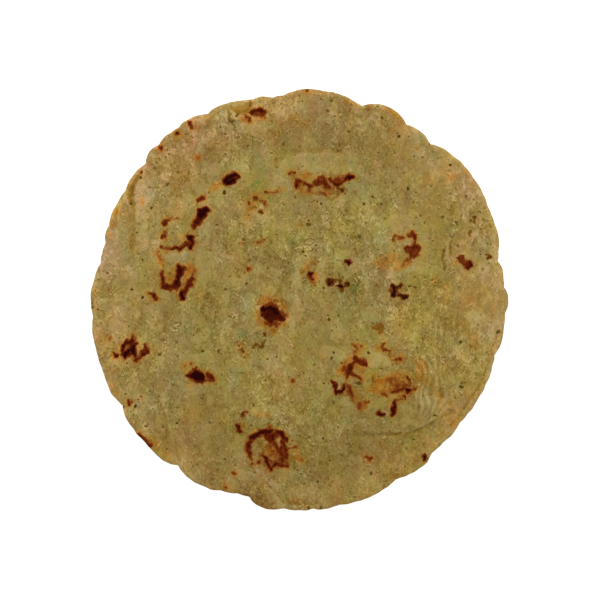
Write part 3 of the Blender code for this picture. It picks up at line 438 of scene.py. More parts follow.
OCHRES = (
    ("torn_rim_patch", 0.66, (232.5, 109, 2.4), (240, 109.5, 4.4), (246, 108.5, 4.2), (251.5, 103.5, 2.4)),
    ("torn_rim_patch_foot", 0.6, (236, 112.5, 2), (242, 113.5, 2.4), (248, 111.5, 2.4)),
    ("torn_rim_patch_edge", 0.9, (250, 101.5, 1), (250.5, 106, 1.2), (247, 110, 0.9)),
    ("torn_middle_patch", 1, (373, 328, 1.8), (377, 327.5, 3.6), (381, 326, 3.4), (381, 330.5, 3.2),
     (379.5, 333, 2)),
)
# Pale flour and grains, and painted highlights: the glints on the bead, the heart and the black pip, and
# pale lines where light catches lips, ledges, folds and small blister crescents
PALES_AND_HIGHLIGHTS = (
    ("claw_bar", 0.8, (184.5, 271, 1), (183, 274.5, 1), (181, 278.5, 0.9), (181, 283, 0.8)),
    ("claw_palm", 0.4, (163, 290, 1.2), (167.5, 291.5, 1), (173.5, 290, 1.2)),
    ("chain", 0.45, (200, 203.5, 1.6), (204.5, 205.5, 1.4), (197.5, 209, 1), (203.5, 221, 1.2),
     (206.5, 216.5, 1.2)),
    ("bead", 0.6, (231.5, 185.5, 1.4), (236.5, 183.5, 1.4), (240, 180, 1.2)),
    ("bead_glint", 0.9, (233, 177.5, 0.9)),
    ("strip", 0.26, (312.5, 191.5, 1.1), (318.5, 189.5, 1.2), (324, 189.5, 1), (331, 183.5, 0.9),
     (335.5, 186.5, 0.9), (337, 190, 0.9), (335.5, 195, 1), (331.5, 198, 1), (313, 195.5, 1.2),
     (318.5, 197, 1.1), (324, 198, 1), (317.5, 177, 1.2), (342, 176.5, 1.4), (349.5, 180.5, 1.2)),
    ("strip_grains", 0.6, (344.5, 194, 0.9), (347, 193.5, 0.9), (342.5, 209.5, 1.2)),
    ("freckle_grain", 1, (258.5, 209.5, 1)),
    ("freckle_ground", 0.4, (262, 207, 2.4), (257.5, 213.5, 2.4)),
    ("corn_grains", 0.5, (267.5, 175.5, 1.4), (294, 107.5, 1.6), (297, 110, 1.4), (304.5, 112, 1.2),
     (320, 114, 1.2), (186, 146, 1.6), (187.5, 149, 1.4), (357.5, 315, 1.8), (400, 180, 1.4),
     (382, 136.5, 1.6), (246.5, 415, 1), (247.5, 417, 0.7)),
    ("heart", 0.9, (257, 307.5, 1.5), (259.5, 307, 1.2)),
    ("heart_glint", 1, (263.5, 314, 0.6)),
    ("heart_south_glint", 0.8, (262.5, 316, 0.6)),
    ("heart_south", 0.4, (265.5, 320.5, 0.9), (287.5, 319.5, 1.2)),
    ("hook", 0.5, (407, 242.5, 3.4), (410.5, 241.5, 2.4), (414, 251, 1.3), (413.5, 260.5, 1.6),
     (418.5, 258.5, 1.2)),
    ("knot", 0.5, (393, 281.5, 1.6), (397.5, 290.5, 1.4), (396.5, 298.5, 1)),
    ("crumb", 0.5, (331, 279, 1.2), (336, 283, 1.6), (341.5, 283.5, 1.4), (345, 287.5, 1.2)),
    ("middle_pale", 0.4, (322, 265, 2.6), (325, 289.5, 2)),
    ("paw", 0.45, (126, 340.5, 1.6), (122.5, 343.5, 1.2), (120.5, 352, 1.4), (128, 358.5, 1.6),
     (150, 351.5, 1), (147, 356, 1), (142.5, 346, 1.2)),
    ("paw_middle", 0.35, (128, 347, 1.2)),
    ("west_pale_line", 0.5, (111, 327, 1.3), (113, 334, 1.4), (116, 341, 1.4), (118.5, 346.5, 1.1)),
    ("low_loops", 0.45, (162, 354.5, 1), (163, 356.5, 1), (161.5, 358, 0.8), (112.5, 370.5, 1),
     (114, 367.5, 1), (116, 367, 0.8)),
    # painted highlights along the lips of the ledge and of the fold
    ("ledge_lip_line", 0.3, (136.5, 183, 0.8), (134.5, 190, 0.9), (134.5, 202, 1), (137.5, 207, 0.9)),
    ("fold_lip_line", 0.4, (392, 431.5, 0.6), (410, 430.5, 0.9), (420, 426.5, 0.9), (430, 421, 0.9),
     (436, 415, 0.9), (444, 411, 0.8)),
    ("east_crack_line", 0.3, (447, 241, 1.2), (447, 262, 1.2)),
    ("fish", 0.4, (188.5, 370, 1), (186.5, 379, 1.2), (200, 384.5, 1.4)),
    ("south_ring", 0.4, (244, 444, 1), (284, 431.5, 1.2)),
    ("ring_slits", 0.25, (278.5, 439.5, 1.2), (280, 444, 1.4), (280, 447.5, 0.9), (271, 462.5, 1),
     (273.5, 459.5, 1.2)),
    ("dome", 0.5, (376, 410.5, 1.4), (384, 411, 1.6), (388, 414.5, 1.4), (339.5, 387, 2),
     (338.5, 389.5, 1)),
    ("rim_black_pip_glint", 0.9, (428, 457.5, 1.3)),
    ("east_pale", 0.6, (477, 233.5, 1.6), (478, 237.5, 1.8)),
    ("north_hook_line", 0.6, (368.5, 118, 0.8), (373, 119, 1.1), (376.5, 121.5, 1.1), (377, 125.5, 0.9)),
    ("soft_pales", 0.3, (204, 142, 3), (484, 243, 1.6), (486, 248, 1.6), (380, 358, 4), (372, 364, 3),
     (287, 330, 2), (296.5, 334, 1.6)),
    ("crater_ring", 0.42, (415, 153.5, 1.4), (419.5, 156, 1.5), (424, 152.5, 1.4), (424, 148, 1.2),
     (420.5, 149.5, 1.6)),
)

# The paler skin of the blisters and of the raised scabs, in the same form: how pale, from 0 to 1
PALE_SKIN = (
    ("ledge", 0.85, (142, 186, 7), (150, 192, 9), (144, 204, 6), (140, 216, 6), (142, 228, 7),
     (142, 242, 8), (176, 208, 9), (188, 202, 7), (196, 178, 6), (200, 188, 7)),
    ("claw", 0.6, (132, 264, 6), (133, 276, 6), (133, 288, 5), (203, 236, 7), (204, 256, 8),
     (204, 276, 8), (200, 292, 6), (158, 292, 4), (170, 296, 5)),
    ("low_hook", 1, (145.5, 300, 3.6)),
    ("bead", 0.8, (206, 170, 5), (220, 167, 5), (236, 166, 6), (246, 174, 5), (246, 184, 5),
     (212, 192, 5), (226, 192, 6)),
    ("ring_south_skin_north", 0.8, (172, 256, 5), (182, 258, 5)),
    ("freckle", 0.9, (242, 208, 6), (244, 218, 6), (258, 216, 6), (268, 220, 7), (278, 226, 5),
     (275, 246, 6), (281, 252, 4)),
    ("middle", 0.85, (259, 268, 6), (270, 273, 5), (279, 275, 4), (228, 278, 4), (236, 286, 4)),
    ("rim_patch", 0.7, (240, 128, 6), (254, 130, 8), (266, 128, 5), (276, 112, 6), (284, 116, 4)),
    ("strip", 0.9, (284, 170, 7), (294, 163, 9), (310, 162, 10), (330, 162, 10), (348, 163, 9),
     (358, 168, 6), (281, 178, 7), (284, 188, 5), (352, 186, 6), (316, 199, 5), (330, 203, 7),
     (340, 200, 6)),
    ("hook", 0.8, (386, 226, 5), (398, 222, 7), (412, 219, 7), (422, 230, 5), (424, 244, 5),
     (423, 256, 5), (382, 244, 8), (392, 254, 6), (404, 268, 6), (420, 268, 7), (436, 270, 5)),
    ("round_dot", 0.9, (338, 256, 4), (348, 253, 4), (357, 260, 4), (355, 270, 4), (343, 273, 4),
     (337, 265, 3)),
    ("pip", 1, (300, 262, 5), (308, 257, 5), (320, 268, 5), (321, 280, 5), (318, 288, 4),
     (298, 276, 4), (300, 286, 4)),
    ("knot", 1, (393, 276, 3.6), (385, 297, 5)),
    ("heart", 0.9, (250, 298, 5), (249, 310, 5), (251, 322, 5), (254, 331, 5), (260, 292, 4),
     (272, 291, 5), (286, 294, 4), (294, 300, 6), (297, 311, 6), (293, 322, 5), (292, 331, 4)),
    ("west_rim", 0.7, (104, 276, 2), (103, 290, 2), (104, 300, 2), (116, 282, 3), (118, 296, 3)),
    ("paw", 0.9, (114, 322, 4), (122, 328, 7), (118, 337, 5), (114, 362, 5), (122, 364, 4),
     (137, 316, 4)),
    ("west", 0.9, (162, 326, 2.4), (162, 336, 2.4), (194, 313, 4), (195, 320, 4), (204, 325, 5),
     (207, 333, 4), (197, 342, 5.5), (237, 338, 4), (228, 325, 5)),
    ("fish", 0.85, (184, 360, 5), (198, 357, 5), (210, 358, 5), (214, 368, 4), (181, 384, 5),
     (194, 390, 5), (204, 388, 4)),
    ("drip", 1, (234, 364, 7), (244, 366, 8), (266, 362, 4), (270, 353, 4), (281, 370, 6),
     (292, 371, 5)),
    ("low_west", 0.9, (211, 396, 2.4), (211, 404, 2.4), (226, 394, 2.6), (228, 402, 2.4),
     (168, 389, 3), (172, 402, 3.4), (181, 414, 4), (161, 431, 2.4)),
    ("south_ring", 0.8, (254, 408, 5), (266, 409, 7), (277, 412, 5), (240, 440, 6), (236, 450, 7),
     (242, 458, 5), (294, 452, 5), (240, 474, 6), (248, 478, 5), (262, 474, 6), (276, 472, 6),
     (290, 474, 6), (272, 496, 6), (300, 492, 8)),
    ("dome", 0.95, (366, 314, 6), (376, 317, 5), (336, 326, 6), (336, 336, 5), (326, 352, 6),
     (340, 354, 6), (374, 360, 8), (382, 362, 7), (366, 376, 4), (367, 386, 4), (345, 402, 5),
     (352, 406, 4), (370, 403, 5), (384, 402, 5), (321, 384, 5), (326, 394, 5), (303, 383, 5)),
    ("blister_north_east", 0.6, (398, 326, 9), (416, 332, 9)),
    ("fold", 0.85, (433, 352, 5), (434, 358, 4), (448, 334, 4), (450, 340, 4), (440, 370, 5),
     (441, 382, 5), (416, 394, 5), (428, 402, 6), (440, 402, 5), (448, 406, 4), (402, 424, 4),
     (414, 422, 4), (471, 316, 6), (476, 326, 5)),
    ("south_middle", 1, (303, 418, 5), (309, 422, 3), (321, 438, 5)),
    ("north_east", 0.6, (430, 164, 6), (436, 176, 6)),
    ("corn", 0.9, (414.5, 150.5, 1.6), (419.5, 155.5, 1.8), (424, 149.5, 1.8), (204, 142, 3),
     (186, 146, 2.2), (172, 151, 2.4), (294, 107, 3.4), (322, 121, 3), (373, 120, 3.4), (367, 211, 3.6),
     (398.5, 180, 2.4), (410, 175, 2), (356, 314, 2.2), (350, 230, 3.4), (373, 228, 2.8), (475, 235, 3),
     (472, 277, 3), (459, 294, 2.6), (486, 270, 4), (482, 342, 3.6), (304, 444, 2.4), (342, 466, 4),
     (360, 462, 4.5), (351, 457, 3), (385, 470, 3.4), (370, 484, 5)),
)

# Cracks and gaps that lie darker than the skin beside them, and painted shadow lines beside the ledges,
# at the feet of the folds and along the rim, in the same form
GAPS_AND_PAINTED_SHADOWS = (
    ("ledge_floor", 0.8, (147, 160, 0.4), (141, 170, 0.5), (136, 179, 1.5), (132, 188, 2.6),
     (130.5, 197, 3), (132, 204, 2.6)),
    ("strip_flake_crack", 0.6, (337.8, 188, 0.7), (337.6, 195, 0.8), (332, 200.4, 0.7), (327, 198, 0.6),
     (321, 193.4, 0.6)),
    ("shelf_foot", 0.5, (133, 206, 2.6), (133.5, 209, 2.8), (133, 216, 3), (132.5, 226, 3), (132, 238, 3),
     (131.5, 248, 2.4)),
    ("strip_north_foot", 0.25, (292, 150.5, 1.8), (312, 150, 2), (336, 150.5, 2)),
    ("south_rim_groove", 0.55, (270, 486, 0.9), (280, 497, 1.1), (290, 503, 1.2), (305, 504.4, 1.2),
     (318, 503, 1.3)),
    ("north_east_rim_foot", 0.25, (356, 108, 1.8), (372, 110, 2), (386, 112, 1.6)),
    ("east_rim_foot", 0.5, (497, 333, 1.3), (493, 345, 1.2), (489.6, 353, 2), (488, 362, 1.1)),
    ("crater_foot", 0.35, (430, 147, 2), (434, 152, 2)),
    ("south_east_rim_foot", 0.3, (425, 455, 1.4), (399, 475, 1.8), (391, 477, 1.6)),
    ("south_east_rim_line", 0.75, (488, 362, 0.8), (484, 374, 0.9), (478.6, 387, 0.9), (471, 397, 0.9),
     (466, 405, 0.9), (458.6, 416, 0.8), (450, 427, 0.6)),
    ("rim_patch_crack", 0.9, (228.6, 111, 0.6), (229.2, 118, 1), (232, 123, 0.7), (236, 127, 0.7)),
    ("west_pale_side_line", 0.5, (114, 330, 0.6), (117, 337.6, 0.7), (120, 344.6, 0.6)),
    ("low_diagonal", 0.5, (263, 375, 0.8), (270, 380, 1), (277, 385, 0.7)),
    ("fold_foot", 0.4, (352, 434.6, 0.7), (378, 435, 0.9), (398, 434.6, 1), (410, 433, 1.1),
     (424, 428.4, 1.1), (433, 423, 1.1), (438.6, 417.6, 1), (446, 415.4, 0.9), (453, 410.6, 0.8)),
    ("east_cracks", 1, (452, 240.5, 0.6), (450.5, 243, 0.8), (450, 248, 1), (451, 255, 0.8)),
    ("east_cracks_west", 1, (444, 249, 1.1), (443, 254, 1), (442.5, 259, 0.9), (444.5, 264.5, 0.8),
     (444.5, 269, 1)),
)

# Soft green tints of nopal under the skin: across, down and radius in the photograph, in pixels
GREEN_TINTS = (
    (270.5, 198, 3), (257.5, 183, 2.6), (252.5, 186, 2.4), (451.8, 233.3, 3.2), (355, 288, 4), (243, 334, 5),
    (272.5, 273.5, 3), (291, 284, 3), (331, 101, 2.2), (408, 188, 2.2), (155.8, 402, 2.4), (169, 403.5, 2.4),
    (333, 402, 3), (292, 242, 5), (196, 124, 2.2), (207, 127, 2.2), (421.5, 137, 3), (434, 155, 3),
)

# Dark bits of nopal and of scorched crumb in the upper skin: across and down in the photograph, half
# width, all in its pixels, and how dark, from 0 to 1
NOPAL_BITS = (
    (141, 178, 1.5, 0.6), (154.5, 167.5, 1.5, 0.5), (151, 208, 1.2, 0.7), (139, 223.5, 1.3, 0.4),
    (153, 226, 0.9, 0.4), (142.5, 297.5, 1.3, 0.8), (132, 289.5, 1.3, 0.75), (148, 283.5, 1.3, 0.35),
    (119, 304.5, 1.1, 0.35), (128.5, 310, 1, 0.35), (107.5, 335.5, 1.1, 0.5), (123, 332, 1.3, 0.25),
    (119.5, 337.5, 0.9, 0.4), (159.5, 354.5, 1.2, 0.65), (161, 353, 0.8, 0.5), (138.5, 368.5, 1.5, 0.4),
    (115, 365.5, 1.3, 0.35), (135.5, 406, 1.2, 0.8), (141.5, 396.5, 1.2, 0.55), (138.5, 399.5, 0.8, 0.5),
    (138.5, 407, 1.1, 0.35), (156, 401.5, 1.8, 0.35), (161.5, 405, 1.2, 0.4), (164, 413.5, 1.3, 0.35),
    (146.5, 426, 1.5, 0.6), (162.5, 424.5, 1.2, 0.4), (177, 423, 1.2, 0.8), (166.5, 448.5, 1.5, 0.5),
    (177.5, 356, 1.2, 0.5), (202.5, 351, 1.4, 0.7), (218.5, 350.5, 1.3, 0.6), (203.5, 394.5, 1.2, 0.55),
    (202.5, 398, 1.4, 0.6), (220.5, 388, 1.3, 0.4), (211.5, 391.5, 1.2, 0.35), (224.5, 192.5, 1.4, 0.85),
    (167.5, 184.5, 1.2, 0.7), (177, 196, 1.1, 0.45), (209, 192.5, 1.2, 0.5), (189.5, 178, 1, 0.35),
    (159, 183.5, 1, 0.35), (230, 120.5, 1.9, 0.55), (229, 116.5, 1.1, 0.45), (235, 126.5, 1.3, 0.5),
    (233, 124.5, 0.9, 0.4), (237, 115.5, 1.3, 0.6), (269.5, 129.5, 1.1, 0.4), (260, 133, 1.3, 0.3),
    (252.5, 148, 1.3, 0.4), (283.5, 144, 1.3, 0.6), (275.5, 159.5, 1, 0.5), (282.5, 159, 1.1, 0.4),
    (234, 153, 1.4, 0.3), (258, 151.5, 1, 0.35), (293, 127.5, 1.1, 0.5), (251.5, 169.5, 1, 0.4),
    (277.5, 166.5, 0.9, 0.35), (273.5, 102, 1.6, 0.35), (331.5, 100.5, 1.6, 0.6), (327.5, 110.5, 1.4, 0.6),
    (309.5, 120, 1.1, 0.4), (326, 116.5, 1.2, 0.4), (359.5, 126, 1.1, 0.4), (382, 118, 1.4, 0.7),
    (318.5, 95, 1, 0.4), (399, 136.5, 1.3, 0.8), (397.5, 133.5, 1.1, 0.5), (408.5, 136.5, 0.9, 0.5),
    (450, 165, 1.2, 0.8), (389.5, 165, 1.1, 0.4), (397, 167.5, 1.1, 0.4), (385, 144.5, 0.9, 0.4),
    (408, 188.5, 1.4, 0.85), (424.5, 186.5, 0.9, 0.4), (420.5, 215.5, 1.2, 0.6), (372.5, 196.5, 1.3, 0.6),
    (381.5, 204, 1.2, 0.55), (364, 204, 1.2, 0.7), (295, 197, 1.1, 0.55), (293.5, 203.5, 1, 0.35),
    (314, 200.5, 1, 0.6), (317, 201.5, 1.2, 0.65), (321, 203.5, 1.2, 0.65), (308.5, 220.5, 0.9, 0.7),
    (309, 224.5, 1.9, 0.65), (332.5, 207.5, 0.8, 0.5), (355.5, 191.5, 1.3, 0.4), (299, 167.5, 1.1, 0.35),
    (345, 193.5, 1, 0.5), (359.5, 236.5, 1.7, 0.65), (343.5, 263.5, 0.9, 0.5), (323.5, 288, 1.3, 0.55),
    (318, 261.5, 1.1, 0.5), (330.5, 258.5, 1.1, 0.35), (303, 251.5, 1.2, 0.75), (292.5, 242.5, 1.2, 0.5),
    (244, 239.5, 1.2, 0.6), (249.5, 260, 1.3, 0.6), (268, 268, 1.2, 0.5), (265.5, 261, 1.2, 0.4),
    (244.5, 272.5, 1.2, 0.5), (246.5, 283.5, 1.2, 0.6), (225.5, 289, 1.4, 0.6), (271.5, 274, 1.5, 0.35),
    (268.5, 280, 1.1, 0.35), (224.5, 245, 1, 0.45), (223, 252, 1, 0.35), (244, 313.5, 1.2, 0.4),
    (409.5, 286, 1.3, 0.6), (415, 287, 1.3, 0.6), (410.5, 273.5, 1.1, 0.4), (384.5, 289, 1.1, 0.35),
    (443, 217, 1.3, 0.6), (455.5, 222, 1, 0.65), (456.5, 224, 0.9, 0.45), (452, 234, 1.9, 0.35),
    (457.5, 245, 1.2, 0.45), (486.5, 232.5, 1, 0.4), (470.5, 229, 1.3, 0.3), (444, 250.5, 1.2, 0.7),
    (446.5, 260, 0.9, 0.4), (444.5, 268, 1, 0.6), (368.5, 352.5, 1.2, 0.85), (341.5, 363, 1.3, 0.7),
    (332, 358, 1.2, 0.65), (387.5, 365.5, 1.6, 0.3), (379, 374, 1.9, 0.35), (329, 319.5, 1.3, 0.85),
    (338.5, 315.5, 1, 0.6), (356, 326.5, 0.9, 0.5), (340.5, 343, 1, 0.45), (384.5, 333.5, 1, 0.4),
    (359, 383, 1.6, 0.8), (356.5, 382.5, 1, 0.6), (333, 401.5, 1.6, 0.5), (378, 418.5, 1.1, 0.35),
    (434.5, 415, 1, 0.7), (431.5, 394, 0.9, 0.45), (455, 397, 1.1, 0.45), (461, 386.5, 1.5, 0.75),
    (461.5, 383, 1.3, 0.5), (460.5, 342, 1.4, 0.7), (417, 347.5, 1.2, 0.45), (406, 366.5, 1.2, 0.35),
    (454.5, 328.5, 1.2, 0.35), (498, 332, 1.6, 0.6), (406.5, 448.5, 1.3, 0.5), (371, 473.5, 1.3, 0.65),
    (342, 455, 1.3, 0.5), (318, 481.5, 1.4, 0.7), (397, 474.5, 1, 0.5), (253.5, 405, 1.2, 0.6),
    (249.5, 408, 0.9, 0.35), (268.5, 423.5, 1.1, 0.5), (270, 418.5, 1.1, 0.4), (254.5, 472, 1.3, 0.5),
    (233.5, 451.5, 1.2, 0.4), (292.5, 440.5, 1.2, 0.55), (307.5, 415, 1.5, 0.35), (241, 355.5, 1.1, 0.4),
    (367.5, 109, 1.2, 0.5), (377.5, 106.5, 1.2, 0.5), (131, 203.5, 1.1, 0.75), (134.5, 186.5, 1, 0.5),
    (92, 303.5, 1.2, 0.6), (92.5, 307, 1.2, 0.6), (308.5, 507.5, 1.1, 0.7), (321, 507.5, 1.2, 0.6),
    (124, 406.5, 1.2, 0.5), (429.5, 144, 0.9, 0.5), (483, 269, 1.2, 0.35), (485, 207.5, 1.2, 0.35),
)

# Grooves and folds in the skin, in the same form. The first number is the depth in millimetres.
CREASES = (
    ("south_east_crease", 0.16, (352, 434.6, 1), (378, 435, 1.2), (398, 434.6, 1.4), (410, 433, 1.4),
     (424, 428.4, 1.4), (433, 423, 1.4), (438.6, 417.6, 1.3), (446, 415.4, 1.2), (453, 410.6, 1)),
    ("south_rim_groove_west", 0.25, (272.5, 485, 1.1), (275.5, 489.5, 1.1)),
    ("south_rim_groove", 0.3, (280, 493.5, 0.9), (283, 498, 1), (287.4, 500.8, 0.9)),
    ("south_rim_line", 0.22, (281, 502.5, 0.8), (287, 504.3, 1), (296, 505, 1), (301, 504.4, 0.8)),
    ("east_crack", 0.3, (450.4, 243, 0.6), (450.6, 250, 0.8), (450.6, 256, 0.6)),
    ("east_crack_west", 0.24, (443.4, 256, 0.7), (442.6, 260, 0.6)),
    ("north_rim_line", 0.16, (289.4, 119, 0.8), (289.6, 127, 0.9), (293, 127.4, 0.9)),
    ("torn_edge_north", 0.25, (150, 162.6, 0.8), (143, 171, 0.9), (136.6, 180, 1), (134.4, 187, 1),
     (132.6, 192, 0.9), (131.8, 200, 1), (135.6, 207, 0.9), (135.4, 213, 0.8)),
    ("strip_flake", 0.2, (321, 193.6, 0.8), (326, 196.6, 0.8), (331, 200.4, 0.8), (337, 197, 0.8),
     (338.4, 190, 0.8)),
)
CREASE_LIP = 0.45

# Wide soft patches where the masa is lighter or darker, partly its own tone and partly painted light and
# shade, such as the painted shade along the south rim: how much lighter, then across and down and the
# radius of the patch in the photograph, in pixels
TONE_AND_PAINTED_LIGHT_PATCHES = (
    (0.12, 165, 205, 45), (0.05, 260, 160, 60), (-0.06, 300, 400, 60), (-0.04, 200, 300, 50),
    (-0.18, 310, 470, 70), (-0.1, 395, 440, 45), (-0.08, 205, 415, 40), (0.08, 500, 345, 40),
    (0.08, 250, 100, 30), (0.06, 350, 350, 30), (0.06, 480, 190, 40), (0.02, 400, 240, 45),
    (-0.12, 344, 102, 36), (0.13, 500, 250, 28), (0.08, 450, 150, 32), (0.08, 150, 250, 32),
    (-0.07, 350, 300, 32), (0.07, 250, 400, 32), (0.06, 300, 450, 28), (-0.06, 250, 500, 24),
    (0.1, 455, 300, 40), (0.08, 395, 350, 35), (0.07, 112, 312, 34), (-0.12, 104, 350, 20),
    (0.06, 270, 300, 50), (0.1, 300, 415, 35), (0.08, 305, 490, 30), (0.1, 421, 368, 11),
    (-0.08, 393, 262, 12), (-0.1, 424, 150, 13), (-0.1, 121, 222, 13), (-0.28, 215, 484, 14),
    (-0.28, 240, 493, 12), (-0.22, 262, 500, 10),
)

# Patches that are yellower than the rest, in the same form
YELLOWS = (
    (0.03, 300, 250, 60), (0.05, 410, 250, 50), (0.07, 400, 345, 60), (0.03, 350, 400, 50),
    (0.03, 490, 260, 60), (-0.05, 350, 100, 35), (-0.05, 100, 300, 35), (-0.05, 128, 250, 32),
    (0.04, 405, 375, 35), (0.05, 498, 214, 36), (0.07, 496, 300, 30), (0.05, 296, 205, 32),
    (0.16, 353.5, 232, 5), (0.1, 340, 226, 6),
)

# Patches that are pinker than the rest, and greener where the number is below 0, in the same form
PINKS = (
    (-0.05, 200, 450, 35), (-0.06, 325, 450, 35), (-0.05, 450, 450, 35), (-0.06, 300, 500, 35),
    (0.05, 200, 200, 50), (0.05, 400, 300, 30), (0.04, 238, 212, 52), (-0.05, 362, 104, 28),
    (-0.05, 426, 150, 28),
)

# Where the marks end: softness of their edges and how far out they are measured, in pixels
SCORCH_REACH = 5.0
TONE_SHARPNESS = 1.6
TOAST_SOFTNESS = 3.6
SCAB_SOFTNESS = 1.9
OCHRE_SOFTNESS = 0.9
PALE_SOFTNESS = 1.1
SKIN_SOFTNESS = 2.6
GAP_AND_SHADOW_SOFTNESS = 1.1
CREASE_REACH = 3.0
CREASE_SLOPE = 2.0
CREASE_LIP_AWAY = 1.6
CREASE_LIP_WIDTH = 0.9
SOOT_SLOPE = 3.0

# Where the skin is bare enough for strewn crumbs, in pixels, strength and millimetres from the rim
BARE_DEPTH = -1.0
BARE_SCAB = 0.05
BARE_INSET = 1.2

# The bits' real half width over the one that can be made out in the photograph, and the height that
# they are dropped on the skin from, in metres
BIT_SIZE = 1.5
ABOVE_ALL = 0.02

# Stops of a wash that lie further apart than this are separate spots, but not in a line, in pixels
LOOSE_GAP = 5.0

# Scorched marks that came fast, with no browned masa round them
COLD_MARKS = (
    "ledge_stud", "middle_round", "middle_round_shade", "crumbs", "knot", "bean", "east_rim_marks", "drip",
    "south_spot", "south_spot_arm", "south_spot_thread", "dome_cup", "dome_dash", "rim_black_pip",
)

# Scorched marks of burnt nopal, olive-black where the others are maroon
SOOTY_MARKS = (
    "west_freckle", "low_freckles", "strip_dot", "middle_round_shade", "crumbs", "knot", "east_rim_marks",
    "drip", "south_olive_dot", "south_spot_arm", "crest_far_dot", "rim_black_pip",
)

# Fine relief of the skin, in millimetres. Each ragged edge has the width of its lumps and a seed.
RIM_RAGGEDNESS = 0.3
RIM_RAGGED = (2.6, 5.5)
LONG_TEARS = (3.6, 1.5)
SHORT_TEARS = (1.3, 0.6)
SCORCH_TEARS = (1.5, 0.6)
TEAR_RAGGEDNESS = 0.9
TEAR_RAGGED = (3.2, 1.7)
TORN_SLOPE = 1.8
TORN_SLOPE_FADE = 0.6
SLOPE_WIDENED = 1.6
FINE_FADE = 0.8
CRUST_HEIGHT = 0.1
SKIN_HEIGHT = 0.12
GAP_DEPTH = 0.12
CRUST_SLOPE = 1.4
TORN_DEPTH = 0.3
WRINKLE_HEIGHT = 0.14
WRINKLE_GAP = 2.0
WRINKLE_MIDDLE = (25.2, -28.5)
WRINKLE_SPAN = (12.0, 27.0)
WRINKLE_SPAN_FADES = (4.0, 5.0)
WRINKLE_SIDE = (-45.0, 40.0)
WRINKLE_SIDE_FADE = 25.0
WRINKLE_RAGGED = (7.0, 3.3)
WRINKLE_WANDER = 1.5
CREST = 4.0
CREST_SHARE = 0.65

# Spacing of the mesh: rings of the two faces and lines inside the rim, in millimetres, then where it is
# halved: how near a mark, in pixels, and how strong a wash
TOP_RINGS = 124
UNDER_RINGS = 44
FLAT_INSET = 1.55
TOP_INSETS = (1.1, 0.7, 0.4, 0.18, 0.05)
UNDER_INSETS = (1.15, 0.7, 0.3, 0.07)
NEAR_A_MARK = 1.7
AT_AN_EDGE = 1.0
PALE_SHOWS = 0.05
TORN_SHOWS = 0.02
RELIEF_INSET = 1.5


def smooth(share):
    """0 to 1, level at both ends."""
    share = np.clip(share, 0.0, 1.0)
    return share * share * (3.0 - 2.0 * share)


def arch(share):
    """The height of a quarter circle over its foot, from 0 to 1."""
    return np.sqrt(1.0 - (1.0 - np.clip(share, 0.0, 1.0)) ** 2)


def lumps(points, width, seed=0.0):
    """Smooth unevenness from about -1 to 1 over points of the plane, with lumps of that width."""
    return np.array([noise.noise((x / width, y / width, seed)) for x, y in points])


def wandering(points, width, reach, seed=0.0):
    """The points moved about by up to that reach, so that edges measured there wander."""
    return points + reach * np.column_stack([lumps(points, width, seed), lumps(points, width, seed + 5.0)])


def angles_of(points):
    return np.degrees(np.arctan2(points[:, 1], points[:, 0])) % FULL_TURN


def on_circle(angles, reach):
    turned = np.radians(angles)
    return np.stack([np.cos(turned), np.sin(turned)], axis=1) * np.reshape(reach, (-1, 1))


def in_pixels(points):
    """Where points of the plane lie in the photograph."""
    return np.array(HUB_PIXEL) + points * np.array((PIXELS_PER_MM, -PIXELS_PER_MM))


def from_pixel(across, down):
    return np.array((across - HUB_PIXEL[0], HUB_PIXEL[1] - down)) / PIXELS_PER_MM


def rows_around(table, angles):
    """For each angle the row of the table that it follows, the next row, and where that one starts."""
    first = table[0][0]
    angles = first + (angles - first) % FULL_TURN
    rows = np.array(table)
    ends = np.append(rows[1:, 0], first + FULL_TURN)
    index = np.searchsorted(ends, angles)
    return angles, rows[index], rows[(index + 1) % len(rows)], ends[index]


def smooth_rim_radius(angles):
    """Distance from the hub to the rim. A lobe rises steeply from its notch and rounds at its crown."""
    angles, row, after, end = rows_around(RIM_LOBES, angles)
    notch, low, crown, high = row.T
    falling = angles > crown
    notch = np.where(falling, end, notch)
    low = np.where(falling, after[:, 1], low)
    rise = np.sin((angles - notch) / (crown - notch) * np.pi / 2.0) ** LOBE_SHARPNESS
    return MEAN_RADIUS + low + (high - low) * rise


def rim_radius(angles):
    """The rim with the small nicks of its broken edge."""
    nicks = lumps(on_circle(angles, MEAN_RADIUS), *RIM_RAGGED)
    return smooth_rim_radius(angles) + RIM_RAGGEDNESS * nicks


def outline_middle():
    """Middle of the part's outline, seen from the hub: the meshes are moved by it."""
    marks = [angle for lobe in RIM_LOBES for angle in (lobe[0], lobe[2])]
    angles = np.append(np.arange(0.0, FULL_TURN, 2.0), np.array(marks) % FULL_TURN)
    rim = on_circle(angles, smooth_rim_radius(angles))
    return (rim.min(axis=0) + rim.max(axis=0)) / 2.0


def puff_edge(angles):
    """Distance of the puffed skin's edge from the hub, and the width of its slope."""
    angles, row, after, end = rows_around(PUFF_EDGE, angles)
    share = smooth((angles - row[:, 0]) / (end - row[:, 0]))
    radius = row[:, 1] + (after[:, 1] - row[:, 1]) * share
    return radius, row[:, 2] + (after[:, 2] - row[:, 2]) * share


def warp_at(points):
    """Height of the underside above the table: nothing in the middle, a slow wave at the rim."""
    outer = smooth((np.linalg.norm(points, axis=1) - FLAT_RADIUS) / (MEAN_RADIUS - FLAT_RADIUS))
    lift = np.full(len(points), RIM_LIFT)
    for height, crests, direction in WARP_WAVES:
        lift += height * np.cos(np.radians(crests * (angles_of(points) - direction)))
    return outer * lift


